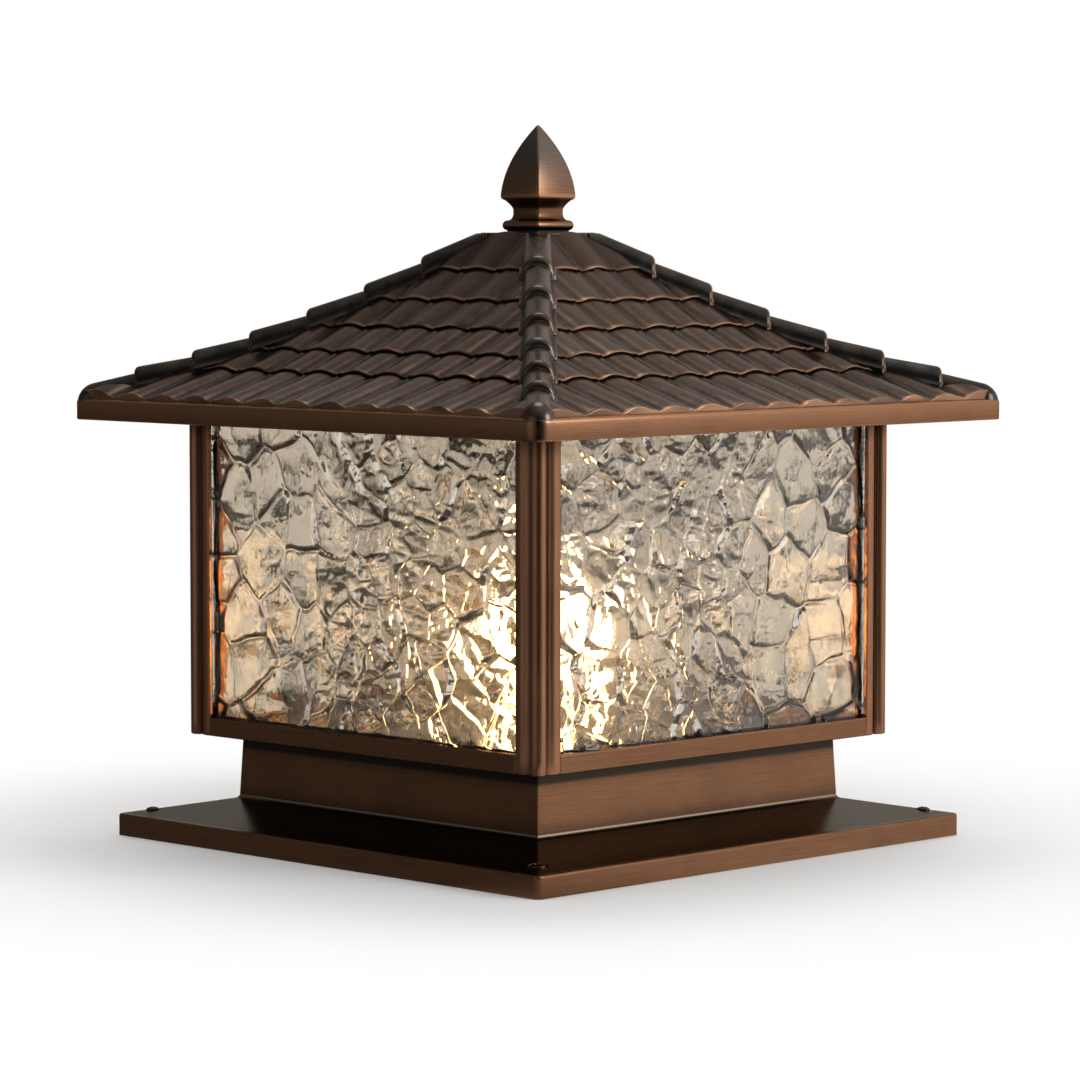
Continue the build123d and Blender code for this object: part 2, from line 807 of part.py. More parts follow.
# Ceramic lamp holder with its threaded shell and centre contact
with BuildPart() as lamp_holder:
    bore = shell_radius + shell_fit
    base_top_z = web_z + holder_base_height
    rim_z = holder_top_z - holder_rim_height
    with BuildSketch(Plane.XZ):
        with BuildLine():
            Polyline(
                (0, web_z),
                (holder_base_radius, web_z),
                (holder_base_radius, base_top_z),
                (holder_body_radius, base_top_z + holder_base_radius - holder_body_radius),
                (holder_body_radius, rim_z - holder_rim_radius + holder_body_radius),
                (holder_rim_radius, rim_z),
                (holder_rim_radius, holder_top_z),
                (bore, holder_top_z),
                (bore, holder_floor_z),
                (0, holder_floor_z),
                close=True,
            )
        make_face()
    revolve(axis=Axis.Z)
    with Locations(*holder_screw_planes):
        Hole(m3_shank + screw_clearance, depth=bracket_thickness + holder_floor - screw_hole_spare)
    with Locations(
        Plane(origin=(holder_base_radius, -pole_spacing, lead_z), z_dir=(1, 0, 0)),
        Plane(origin=(holder_base_radius, pole_spacing, lead_z), z_dir=(1, 0, 0)),
    ):
        Hole(lead_radius + lead_fit, depth=holder_base_radius - lead_entry)

with BuildPart() as holder_shell:
    with BuildSketch(Plane.XY.offset(holder_floor_z)):
        Circle(shell_radius)
        Circle(shell_radius - shell_wall, mode=Mode.SUBTRACT)
    extrude(amount=shell_height)

with BuildPart() as holder_contact:
    leaf_low_z = holder_floor_z + contact_thickness / 2
    leaf_high_z = holder_floor_z + contact_height - contact_thickness / 2
    with BuildSketch(Plane.XZ):
        with BuildLine():
            FilletPolyline(
                (-contact_half, leaf_low_z),
                (contact_half, leaf_low_z),
                (contact_half, leaf_high_z),
                (-contact_half / 2, leaf_high_z),
                radius=contact_bend,
            )
        trace(line_width=contact_thickness)
    extrude(amount=contact_width / 2, both=True)

# Bulb: contact tip, insulator, screw cap and opal globe
with BuildPart() as bulb_tip:
    with BuildSketch(Plane.XY.offset(tip_z)):
        Circle(tip_radius)
    extrude(amount=tip_height)

with BuildPart() as bulb_insulator:
    with BuildSketch(Plane.XZ):
        with BuildLine():
            Polyline(
                (0, insulator_z),
                (tip_radius, insulator_z),
                (insulator_radius, cap_z),
                (0, cap_z),
                close=True,
            )
        make_face()
    revolve(axis=Axis.Z)

with BuildPart() as bulb_cap:
    with BuildSketch(Plane.XZ):
        with BuildLine():
            Polyline(
                (0, cap_z),
                (insulator_radius, cap_z),
                (cap_radius, cap_z + cap_shoulder),
                (cap_radius, globe_z),
                (0, globe_z),
                close=True,
            )
        make_face()
    revolve(axis=Axis.Z)

with BuildPart() as bulb_globe:
    globe_top_z = globe_z + globe_length
    middle_z = globe_top_z - globe_radius
    flare_z = globe_z + globe_neck_height
    flare_rise = middle_z - flare_z
    flare_radius = (globe_neck_radius**2 + flare_rise**2 - globe_radius**2) / (
        2 * (globe_radius - globe_neck_radius)
    )
    flare_middle = Vector(globe_neck_radius + flare_radius, flare_z)
    globe_middle = Vector(0, middle_z)
    meeting = globe_middle + (flare_middle - globe_middle).normalized() * globe_radius
    flare_start = Vector(globe_neck_radius, flare_z)
    flare_half = ((flare_start + meeting) / 2 - flare_middle).normalized()
    with BuildSketch(Plane.XZ):
        with BuildLine():
            Polyline((0, globe_top_z), (0, globe_z), (globe_neck_radius, globe_z), flare_start)
            ThreePointArc(flare_start, flare_middle + flare_half * flare_radius, meeting)
            ThreePointArc(meeting, (globe_radius, middle_z), (0, globe_top_z))
        make_face()
    revolve(axis=Axis.Z)
    offset(amount=-globe_wall, openings=bulb_globe.faces().sort_by(Axis.Z)[0])

# Terminal block on the bracket's web, with a row of wire holes for the lamp and one for the supply
pole_places = (-pole_spacing, 0, pole_spacing)
block_face_x = block_x + block_width
terminal_z = block_top_z - wire_hole_depth
terminal_planes = [Plane(origin=(block_face_x, y, terminal_z), z_dir=(1, 0, 0)) for y in pole_places]
wire_rows = (lead_x, block_face_x - block_row)
with BuildPart() as terminal_block:
    with BuildSketch(Plane.XY.offset(web_z)):
        with Locations((block_x, 0)):
            Rectangle(block_width, block_length, align=(Align.MIN, Align.CENTER))
    extrude(amount=block_height)
    chamfer(terminal_block.faces().sort_by(Axis.Z)[-1].edges(), block_edge)
    with Locations(*[(x, y, block_top_z) for x in wire_rows for y in pole_places]):
        Hole(lead_radius + lead_fit, depth=wire_hole_depth)
    with Locations(*terminal_planes):
        Hole(m2_shank + screw_clearance, depth=terminal_screw_length + screw_hole_spare)


# Leads from the terminal block to the holder, and the earth lead with its lug on the bracket
def lead(*points):
    """A round lead along points joined by a bend."""
    with BuildPart() as wire:
        with BuildLine() as route:
            FilletPolyline(*points, radius=lead_bend)
        with BuildSketch(Plane(origin=route.line @ 0, z_dir=route.line % 0)):
            Circle(lead_radius)
        sweep(path=route.line)
    return wire.part


def block_lead(pole_y, end_x):
    """A lead that rises out of one pole of the block and turns level, to end at a place along X."""
    return lead(
        (lead_x, pole_y, block_top_z - lead_seat),
        (lead_x, pole_y, lead_z),
        (end_x, pole_y, lead_z),
    )


with BuildPart() as lead_live:
    add(block_lead(-pole_spacing, lead_entry))

with BuildPart() as lead_neutral:
    add(block_lead(pole_spacing, lead_entry))

lug_plane = Plane(origin=(leg_x - lug_thickness, 0, lug_z), z_dir=(-1, 0, 0))
with BuildPart() as earth_lead:
    add(block_lead(0, leg_x - lug_thickness / 2))
    with BuildSketch(Plane(origin=(leg_x, 0, (lead_z + lug_z) / 2), z_dir=(-1, 0, 0), x_dir=(0, 0, 1))):
        SlotCenterToCenter(lug_length, 2 * lug_half_width)
    extrude(amount=lug_thickness)
    with Locations(lug_plane):
        Hole(m3_shank + screw_clearance, depth=lug_thickness)

# Single pieces
os.makedirs("parts", exist_ok=True)
save(base_casting, "base_casting")
save(floor_plate, "floor_plate")
save(pane_seals, "pane_seals")
save(roof_casting, "roof_casting")
save(finial, "finial")
save(finial_washer, "finial_washer")
save(cross_bar, "cross_bar")
save(stud_nuts, "stud_nuts")
save(roof_stud, "roof_stud")
save(holder_bracket, "holder_bracket")
save(lamp_holder, "lamp_holder")
save(holder_shell, "holder_shell")
save(holder_contact, "holder_contact")
save(bulb_tip, "bulb_tip")
save(bulb_insulator, "bulb_insulator")
save(bulb_cap, "bulb_cap")
save(bulb_globe, "bulb_globe")
save(terminal_block, "terminal_block")
save(lead_live, "lead_live")
save(lead_neutral, "lead_neutral")
save(earth_lead, "earth_lead")

# Pieces that stand once at each corner or on each side
save_round(corner_post, "corner_post", corner_names)
save_round(bottom_rail, "bottom_rail", side_names)
save_round(top_rail, "top_rail", side_names)
save_round(glass_pane, "glass_pane", side_names)

# Screws
m4 = (m4_shank, m4_head, m4_crown)
m3 = (m3_shank, m3_head, m3_crown)
m2 = (m2_shank, m2_head, m2_crown)
frame_screw = countersunk_screw(m2_shank, m2_head, frame_screw_length)
for name, level in (("lower_frame_screws", lower_screw_z), ("upper_frame_screws", upper_screw_z)):
    corner_places = [
        Rotation(0, 0, angle) * Location(plane)
        for angle in quarter_turns
        for plane in frame_screw_planes(level)
    ]
    save_screws(name, frame_screw, corner_places)
save_screws("floor_screws", pan_screw(*m4, floor_screw_length), floor_screw_places)
save_screws("bracket_screws", pan_screw(*m4, bracket_screw_length), bracket_screw_places)
save_screws("rail_screws", pan_screw(*m3, floor_thickness + ledge_thickness), rail_screw_places)
save_screws("cross_bar_screws", pan_screw(*m4, bar_screw_length), bar_screw_places)
save_screws("holder_screws", pan_screw(*m3, holder_screw_length), holder_screw_planes)
save_screws("terminal_screws", pan_screw(*m2, terminal_screw_length), terminal_planes)
save_screws("earth_screw", pan_screw(*m3, earth_screw_length), [lug_plane])
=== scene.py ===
"""Pillar light: surfaces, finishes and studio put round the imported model.

Sizes are in millimetres and become metres when a mesh is put in. The front is the -Y side.
"""
import logging
import math
from dataclasses import dataclass, field, replace
from enum import Enum

import bmesh
import bpy
import numpy as np
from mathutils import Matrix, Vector


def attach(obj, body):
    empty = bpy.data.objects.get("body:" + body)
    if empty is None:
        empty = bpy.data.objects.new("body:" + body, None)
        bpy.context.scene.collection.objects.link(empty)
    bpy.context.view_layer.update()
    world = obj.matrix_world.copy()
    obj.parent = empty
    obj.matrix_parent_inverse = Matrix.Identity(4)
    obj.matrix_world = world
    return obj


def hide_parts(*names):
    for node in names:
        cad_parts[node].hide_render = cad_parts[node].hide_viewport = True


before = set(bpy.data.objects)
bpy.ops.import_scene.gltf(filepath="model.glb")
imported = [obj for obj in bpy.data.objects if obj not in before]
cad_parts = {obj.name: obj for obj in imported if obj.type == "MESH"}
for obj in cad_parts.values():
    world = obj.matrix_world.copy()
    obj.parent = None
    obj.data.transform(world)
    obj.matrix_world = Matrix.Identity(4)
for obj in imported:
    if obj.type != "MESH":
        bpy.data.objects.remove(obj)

Tree = bpy.types.NodeTree
Socket = bpy.types.NodeSocket
Material = bpy.types.Material
LOG = logging.getLogger("pillar_light")
MM = 0.001
MERGE = 2e-6


class Side(Enum):
    """The four faces of the lantern, as quarter turns from the front."""

    FRONT = 0
    RIGHT = 1
    BACK = 2
    LEFT = 3


class Brushing(Enum):
    """Which way the metal was rubbed down."""

    ROUND_THE_SIDES = "round the sides"
    UPRIGHT = "upright"
    AS_CAST = "as cast"


def linear(code: str) -> tuple[float, float, float, float]:
    """Turn an sRGB hex colour into linear RGBA.

    Args:
        code: colour such as "#7a4b2e".

    Returns:
        Red, green, blue and alpha, linear.
    """
    parts = [int(code[i:i + 2], 16) / 255.0 for i in (1, 3, 5)]
    light = [c / 12.92 if c <= 0.04045 else ((c + 0.055) / 1.055) ** 2.4 for c in parts]
    return (light[0], light[1], light[2], 1.0)


def add_node(
    tree: Tree, kind: str, inputs: dict | None = None, out: int | str | None = 0, **settings: object
) -> Socket:
    """Add a node with its settings, values and links.

    Args:
        tree: node tree that takes the node.
        kind: Blender's name for the node type, after "ShaderNode".
        inputs: by socket name or number, a value or an output socket to link.
        out: name or number of the output that is wanted, or None for all of them.
        settings: properties of the node itself.

    Returns:
        The output that is wanted, or all outputs by name.
    """
    made = tree.nodes.new("ShaderNode" + kind)
    for key, value in settings.items():
        setattr(made, key, value)
    for key, value in (inputs or {}).items():
        if isinstance(value, Socket):
            tree.links.new(value, made.inputs[key])
        else:
            made.inputs[key].default_value = value
    return made.outputs if out is None else made.outputs[out]


def new_material(name: str) -> tuple[Material, Tree, bpy.types.Node, Socket]:
    """Start a material.

    Args:
        name: name of the material.

    Returns:
        The material, its tree, its Principled shader and its Object coordinates.
    """
    material = bpy.data.materials.new(name)
    material.use_nodes = True
    tree = material.node_tree
    place = add_node(tree, "TexCoord", out="Object")
    return material, tree, tree.nodes["Principled BSDF"], place


def value_noise(u: np.ndarray, v: np.ndarray, cell: float, seed: int) -> np.ndarray:
    """Smooth noise from -1 to 1: random heights on a square lattice, eased from point to point.

    Args:
        u: first coordinate, mm.
        v: second coordinate, mm.
        cell: spacing of the lattice, mm.
        seed: which random heights.

    Returns:
        Noise of the same shape as u and v.
    """
    table = np.random.default_rng(seed).uniform(-1.0, 1.0, (64, 64))
    a, b = np.broadcast_arrays(u / cell, v / cell)
    i, j = np.floor(a).astype(int), np.floor(b).astype(int)
    s, t = a - i, b - j
    s, t = s * s * (3.0 - 2.0 * s), t * t * (3.0 - 2.0 * t)
    near = table[i % 64, j % 64] * (1.0 - s) + table[(i + 1) % 64, j % 64] * s
    far = table[i % 64, (j + 1) % 64] * (1.0 - s) + table[(i + 1) % 64, (j + 1) % 64] * s
    return near * (1.0 - t) + far * t


def square_rings(half: np.ndarray, corner: np.ndarray, z: np.ndarray, arc: int = 9) -> np.ndarray:
    """Rings round a square with rounded corners, one per point of a profile.

    Each corner is a quarter circle about the point that lies the corner radius inside both sides.

    Args:
        half: half side of each ring, mm.
        corner: corner radius of each ring, mm; a ring whose radius is its half side is a circle.
        z: height of each ring, mm.
        arc: points per corner.

    Returns:
        Points of shape (rings, 4 * arc, 3).
    """
    angle = np.concatenate([np.linspace(0.0, 90.0, arc) + 90.0 * q for q in range(4)])
    turn = np.radians(angle)
    sign_x = np.repeat([1.0, -1.0, -1.0, 1.0], arc)
    sign_y = np.repeat([1.0, 1.0, -1.0, -1.0], arc)
    inset = (half - corner)[:, None]
    x = inset * sign_x + corner[:, None] * np.cos(turn)
    y = inset * sign_y + corner[:, None] * np.sin(turn)
    return np.stack([x, y, np.broadcast_to(z[:, None], x.shape)], axis=-1)


def turned(points: np.ndarray, side: Side) -> np.ndarray:
    """Turn points made for the front to another side, about the lantern's axis."""
    c, s = ((1, 0), (0, 1), (-1, 0), (0, -1))[side.value]
    x, y = points[..., 0], points[..., 1]
    return np.stack([c * x - s * y, s * x + c * y, points[..., 2]], axis=-1)


def revolved(radius: np.ndarray, z: np.ndarray, steps: int) -> np.ndarray:
    """Carry a profile round the vertical axis: a circle of each radius at each height.

    Args:
        radius: radius of each ring, mm.
        z: height of each ring, mm.
        steps: points per ring.

    Returns:
        Points of shape (rings, steps, 3).
    """
    turn = np.linspace(0.0, 2.0 * np.pi, steps, endpoint=False)
    x = radius[:, None] * np.cos(turn)
    y = radius[:, None] * np.sin(turn)
    return np.stack([x, y, np.broadcast_to(z[:, None], x.shape)], axis=-1)


@dataclass
class Surface:
    """Points and faces of one piece, gathered grid by grid.

    Attributes:
        points: arrays of (n, 3) points, mm.
        quads: arrays of (n, 4) point numbers.
        caps: rings of point numbers that close an end.
        masks: named arrays with one number per point, kept on the mesh for the finishes.
        count: points so far.
    """

    points: list[np.ndarray] = field(default_factory=list)
    quads: list[np.ndarray] = field(default_factory=list)
    caps: list[np.ndarray] = field(default_factory=list)
    masks: dict[str, list[np.ndarray]] = field(default_factory=dict)
    count: int = 0

    def add_grid(
        self, grid: np.ndarray, loop: bool = False, capped: bool = False, **masks: np.ndarray
    ) -> None:
        """Add a grid of points with a quad between each four neighbours; each row closes on itself.

        Args:
            grid: points of shape (rows, columns, 3), mm.
            loop: whether the last row joins the first.
            capped: whether the first and last rows are closed with a flat face.
            masks: numbers of shape (rows, columns) to keep on the points.
        """
        rows, columns = grid.shape[:2]
        last_row = rows if loop else rows - 1
        r, c = np.meshgrid(np.arange(last_row), np.arange(columns), indexing="ij")
        r_next, c_next = (r + 1) % rows, (c + 1) % columns
        corners = [r * columns + c, r * columns + c_next, r_next * columns + c_next, r_next * columns + c]
        self.quads.append(np.stack(corners, axis=-1).reshape(-1, 4) + self.count)
        if capped:
            self.caps.append(np.arange(columns)[::-1] + self.count)
            self.caps.append(np.arange(columns) + (rows - 1) * columns + self.count)
        self.points.append(grid.reshape(-1, 3))
        for name, values in masks.items():
            self.masks.setdefault(name, []).append(np.broadcast_to(values, (rows, columns)).ravel())
        self.count += rows * columns

    def put_in(
        self, name: str, finish: Material, body: str,
        stands_for: tuple[str, ...] = (), sharp: float = 38.0,
    ) -> None:
        """Make the mesh, close its doubles, turn its faces outwards and let it ride.

        Args:
            name: name of the piece.
            finish: material of the piece.
            body: body that it rides on.
            stands_for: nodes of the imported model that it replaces.
            sharp: edges that turn by more than this many degrees stay sharp.
        """
        points = np.concatenate(self.points) * MM
        quads = np.concatenate(self.quads)
        corners = np.concatenate([quads.ravel(), *self.caps]).astype(np.int32)
        sizes = np.concatenate([np.full(len(quads), 4), [len(cap) for cap in self.caps]])
        starts = np.concatenate([[0], np.cumsum(sizes)[:-1]]).astype(np.int32)
        mesh = bpy.data.meshes.new(name)
        mesh.vertices.add(len(points))
        mesh.vertices.foreach_set("co", points.ravel())
        mesh.loops.add(len(corners))
        mesh.loops.foreach_set("vertex_index", corners)
        mesh.polygons.add(len(starts))
        mesh.polygons.foreach_set("loop_start", starts)
        mesh.update(calc_edges=True)
        for mask, values in self.masks.items():
            layer = mesh.attributes.new(mask, "FLOAT", "POINT")
            layer.data.foreach_set("value", np.concatenate(values).astype(np.float32))
        work = bmesh.new()
        work.from_mesh(mesh)
        bmesh.ops.remove_doubles(work, verts=work.verts, dist=MERGE)
        bmesh.ops.recalc_face_normals(work, faces=work.faces)
        work.to_mesh(mesh)
        work.free()
        mesh.shade_smooth()
        mesh.set_sharp_from_angle(angle=math.radians(sharp))
        mesh.materials.append(finish)
        piece = bpy.data.objects.new(name, mesh)
        bpy.context.scene.collection.objects.link(piece)
        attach(piece, body)
        if stands_for:
            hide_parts(*stands_for)
        LOG.info("%s: %d faces on %s", name, len(mesh.polygons), body)


@dataclass(frozen=True)
class Bronze:
    """Cast bronze with a brown patina, rubbed back by hand and lacquered.

    Gives the eye a warm dark brown that turns copper where light falls on it, with fine rubbing
    streaks, near-black patina and painted shade in the corners and on faces that look up, bare copper
    on the edges that is wear and painted highlight, and a clear lacquer.

    Attributes:
        name: name of the finish.
        ground: colour of the rubbed brown.
        patina_and_shade: colour of the patina in clouds and corners, also used for painted shade in corners,
            on faces that look up and under overhangs.
        wear_and_highlight: colour of the bare edges, worn and painted highlight.
        grazing: colour at grazing angles.
        brushing: which way it was rubbed.
        streak: width of a rubbing streak, mm; a real one is nearer 0.1 and would not show.
        streak_run: length of a streak, mm.
        cloud: size of the patina's clouds, mm.
        edge: width of the worn edges, mm.
        corner: how far the patina and painted shade reach out of a corner, mm.
        edge_wear_and_highlight: how much copper shows on the edges, as wear and painted highlight.
        top_tarnish_and_shade: how dark faces that look up turn, as patina and painted shade.
        roughness: middle value of the roughness.
        relief: height of the streaks, mm.
        lacquer: how much clear lacquer lies over the metal.
        corner_dark_low: height up to which corners are not darkened, mm.
        corner_dark_top: height from which corners are fully darkened, mm.
        shade_low: where the painted shadow under an overhang starts, mm.
        shade_top: where it is full, mm; nought for none.
    """

    name: str
    ground: str = "#80563a"
    patina_and_shade: str = "#1c120b"
    wear_and_highlight: str = "#c4916e"
    grazing: str = "#b89c8a"
    brushing: Brushing = Brushing.ROUND_THE_SIDES
    streak: float = 0.45
    streak_run: float = 34.0
    cloud: float = 30.0
    edge: float = 1.2
    corner: float = 14.0
    edge_wear_and_highlight: float = 0.8
    top_tarnish_and_shade: float = 0.9
    roughness: float = 0.25
    relief: float = 0.012
    lacquer: float = 0.3
    corner_dark_low: float = 9.0
    corner_dark_top: float = 11.0
    shade_low: float = 0.0
    shade_top: float = 0.0

    def grain(self, tree: Tree, place: Socket) -> Socket:
        """Noise pulled out along the way the metal was rubbed; on cast faces it has no direction.

        On the sides, the run is the longer way round: y where |x| is the larger, x elsewhere.

        Args:
            tree: tree of the material.
            place: Object coordinates.

        Returns:
            Socket with noise from 0 to 1.
        """
        if self.brushing is Brushing.AS_CAST:
            grain = {"Vector": place, "Scale": 1.0 / (self.streak * MM), "Detail": 3.0}
            return add_node(tree, "TexNoise", grain)
        axes = add_node(tree, "SeparateXYZ", {0: place}, out=None)
        x, y, z = axes["X"], axes["Y"], axes["Z"]
        if self.brushing is Brushing.UPRIGHT:
            along = z
            across = add_node(tree, "Math", {0: x, 1: y}, operation="SUBTRACT")
        else:
            far_x = add_node(tree, "Math", {0: x}, operation="ABSOLUTE")
            far_y = add_node(tree, "Math", {0: y}, operation="ABSOLUTE")
            on_x = add_node(tree, "Math", {0: far_x, 1: far_y}, operation="GREATER_THAN")
            along = add_node(tree, "Mix", {0: on_x, 2: x, 3: y})
            out = add_node(tree, "Math", {0: far_x, 1: far_y}, operation="MAXIMUM")
            across = add_node(tree, "Math", {0: out, 1: z}, operation="ADD")
        per_run, per_streak = 1.0 / (self.streak_run * MM), 1.0 / (self.streak * MM)
        long = add_node(tree, "Math", {0: along, 1: per_run}, operation="MULTIPLY")
        wide = add_node(tree, "Math", {0: across, 1: per_streak}, operation="MULTIPLY")
        spot = add_node(tree, "CombineXYZ", {0: long, 1: wide})
        return add_node(tree, "TexNoise", {"Vector": spot, "Scale": 1.0, "Detail": 3.0})

    def tint(self, tree: Tree, place: Socket, ground: Socket) -> Socket:
        """Colour before corners and edges; finishes with marks of their own add them here."""
        return ground

    def overlay(self, tree: Tree, place: Socket, colour: Socket) -> Socket:
        """Lay a painted shadow under an overhang over the colour, by height.

        Finishes with marks of their own that lie over all add them to this.

        Args:
            tree: tree of the material.
            place: Object coordinates.
            colour: colour so far.

        Returns:
            Colour with the patina.
        """
        if self.shade_top <= self.shade_low:
            return colour
        height = add_node(tree, "SeparateXYZ", {0: place}, out="Z")
        low, top = self.shade_low * MM, self.shade_top * MM
        shade = add_node(tree, "MapRange", {0: height, 1: low, 2: top, 4: 0.88})
        return add_node(tree, "Mix", {0: shade, 6: colour, 7: linear(self.patina_and_shade)}, data_type="RGBA", out=2)

    def build(self) -> Material:
        """Make the material.

        Returns:
            The material, on a Principled shader.
        """
        material, tree, shader, place = new_material(self.name)
        grain = self.grain(tree, place)
        clouds = add_node(
            tree, "TexNoise",
            {"Vector": place, "Scale": 1.0 / (self.cloud * MM), "Detail": 4.0, "Roughness": 0.6},
        )
        dark = add_node(tree, "MapRange", {0: clouds, 1: 0.45, 2: 0.8, 3: 0.0, 4: 0.25})
        ground = add_node(
            tree, "Mix", {0: dark, 6: linear(self.ground), 7: linear(self.patina_and_shade)}, data_type="RGBA", out=2
        )
        rubbed = add_node(tree, "MapRange", {0: grain, 1: 0.3, 2: 0.7, 3: 0.78, 4: 1.16})
        brown = add_node(
            tree, "Mix", {0: 1.0, 6: ground, 7: rubbed}, data_type="RGBA", blend_type="MULTIPLY", out=2
        )
        brown = self.tint(tree, place, brown)
        # Corners, faces that look up and the places under lips are darkened by ambient occlusion and by the
        # normal: patina and painted shade. Close to the ground the occlusion darkening is left off, so the
        # floor doesn't darken the flange's edge.
        open_share = add_node(tree, "AmbientOcclusion", {"Distance": self.corner * MM}, samples=6, out="AO")
        kept = add_node(tree, "MapRange", {0: open_share, 1: 0.84, 2: 0.62, 4: 0.95})
        true = add_node(tree, "NewGeometry", out="Normal")
        upright = add_node(tree, "SeparateXYZ", {0: true}, out="Z")
        top_tarnish_and_shade = add_node(tree, "MapRange", {0: upright, 1: 0.8, 2: 0.97, 4: self.top_tarnish_and_shade})
        height = add_node(tree, "SeparateXYZ", {0: place}, out="Z")
        corner_dark_on = add_node(tree, "MapRange", {0: height, 1: self.corner_dark_low * MM, 2: self.corner_dark_top * MM})
        kept = add_node(tree, "Math", {0: kept, 1: corner_dark_on}, operation="MULTIPLY")
        kept = add_node(tree, "Math", {0: kept, 1: top_tarnish_and_shade}, operation="MAXIMUM")
        brown = add_node(tree, "Mix", {0: kept, 6: brown, 7: linear(self.patina_and_shade)}, data_type="RGBA", out=2)
        # The normal of a rounded edge leaves the true one only near an edge, which marks where it wears; the
        # bare copper there is wear and painted highlight.
        rounded = add_node(tree, "Bevel", {"Radius": self.edge * MM}, samples=6)
        lean = add_node(tree, "VectorMath", {0: rounded, 1: true}, operation="DOT_PRODUCT", out=1)
        wear_and_painted_light = add_node(tree, "MapRange", {0: lean, 1: 0.995, 2: 0.93, 4: self.edge_wear_and_highlight})
        broken = add_node(tree, "MapRange", {0: grain, 1: 0.25, 2: 0.6, 3: 0.3, 4: 1.0})
        proud = add_node(tree, "MapRange", {0: open_share, 1: 0.55, 2: 0.75})
        wear_and_painted_light = add_node(tree, "Math", {0: wear_and_painted_light, 1: broken}, operation="MULTIPLY")
        wear_and_painted_light = add_node(tree, "Math", {0: wear_and_painted_light, 1: proud}, operation="MULTIPLY")
        colour = add_node(tree, "Mix", {0: wear_and_painted_light, 6: brown, 7: linear(self.wear_and_highlight)}, data_type="RGBA", out=2)
        colour = self.overlay(tree, place, colour)
        gloss = add_node(
            tree, "MapRange",
            {0: grain, 1: 0.25, 2: 0.75, 3: self.roughness - 0.05, 4: self.roughness + 0.07},
        )
        bump = add_node(
            tree, "Bump",
            {"Height": grain, "Distance": self.relief * MM, "Strength": 1.0, "Normal": rounded},
        )
        tree.links.new(colour, shader.inputs["Base Color"])
        tree.links.new(gloss, shader.inputs["Roughness"])
        tree.links.new(bump, shader.inputs["Normal"])
        shader.inputs["Metallic"].default_value = 1.0
        shader.inputs["Specular Tint"].default_value = linear(self.grazing)
        shader.inputs["Coat Weight"].default_value = self.lacquer
        shader.inputs["Coat Roughness"].default_value = 0.25
        return material


@dataclass(frozen=True)
class PlinthBronze(Bronze):
    """The base's brown bronze.

    Gives the eye the same brown as the frame, with a near-black painted shadow under the frame and a
    thin pale painted highlight along the cove at the plinth's foot.

    Attributes:
        cove_low: lower edge of the painted highlight, mm.
        cove_top: upper edge of the painted highlight, mm.
        cove_highlight: colour of the painted highlight.
    """

    cove_low: float = 17.9
    cove_top: float = 19.0
    cove_highlight: str = "#a89c8c"

    def overlay(self, tree: Tree, place: Socket, colour: Socket) -> Socket:
        """Lay the painted highlight along the cove over the colour, by height, on top of the painted shadow.

        Args:
            tree: tree of the material.
            place: Object coordinates.
            colour: colour so far.

        Returns:
            Colour with the line.
        """
        dark = super().overlay(tree, place, colour)
        height = add_node(tree, "SeparateXYZ", {0: place}, out="Z")
        middle = 0.5 * (self.cove_low + self.cove_top) * MM
        half = 0.5 * (self.cove_top - self.cove_low) * MM
        off = add_node(tree, "Math", {0: height, 1: middle}, operation="SUBTRACT")
        off = add_node(tree, "Math", {0: off}, operation="ABSOLUTE")
        line = add_node(tree, "MapRange", {0: off, 1: half, 2: 0.4 * half, 4: 0.7})
        return add_node(tree, "Mix", {0: line, 6: dark, 7: linear(self.cove_highlight)}, data_type="RGBA", out=2)


@dataclass(frozen=True)
class TileBronze(Bronze):
    """Cast bronze tiles with a grey-brown patina.

    Gives the eye a dark satin roof with tiles of slightly different tone and a painted highlight on
    their crests, a thin broken line of copper on the lower lips that is wear and painted highlight,
    and near-black patina and painted shade in the troughs.

    Attributes:
        grey: colour of the greyer tiles and of the painted highlight on the crests.
        soot_and_shade: colour of the patina and painted shade in the troughs.
        patch: size of the patches in which it is left, mm.
    """

    grey: str = "#5c4d43"
    soot_and_shade: str = "#151211"
    patch: float = 9.0

    def tint(self, tree: Tree, place: Socket, ground: Socket) -> Socket:
        """Mix in each tile's tone, which holds a painted highlight on the crests, and the troughs' patina
        and painted shade, both kept on the points.

        Args:
            tree: tree of the material.
            place: Object coordinates.
            ground: colour so far.

        Returns:
            Colour with the tiles' marks.
        """
        tone = add_node(tree, "Attribute", attribute_name="tone", out="Fac")
        trough = add_node(tree, "Attribute", attribute_name="trough", out="Fac")
        patchy = add_node(
            tree, "TexNoise", {"Vector": place, "Scale": 1.0 / (self.patch * MM), "Detail": 2.0}
        )
        patchy = add_node(tree, "MapRange", {0: patchy, 1: 0.38, 2: 0.6, 3: 0.4, 4: 1.0})
        toned = add_node(tree, "Mix", {0: tone, 6: ground, 7: linear(self.grey)}, data_type="RGBA", out=2)
        left = add_node(tree, "Math", {0: trough, 1: patchy}, operation="MULTIPLY")
        return add_node(tree, "Mix", {0: left, 6: toned, 7: linear(self.soot_and_shade)}, data_type="RGBA", out=2)

    def overlay(self, tree: Tree, place: Socket, colour: Socket) -> Socket:
        """Mix in the bare lips, which are wear and painted highlight, kept on the points.

        Args:
            tree: tree of the material.
            place: Object coordinates; not used.
            colour: colour so far.

        Returns:
            Colour with the lips.
        """
        lip = add_node(tree, "Attribute", attribute_name="lip", out="Fac")
        return add_node(tree, "Mix", {0: lip, 6: colour, 7: linear(self.wear_and_highlight)}, data_type="RGBA", out=2)


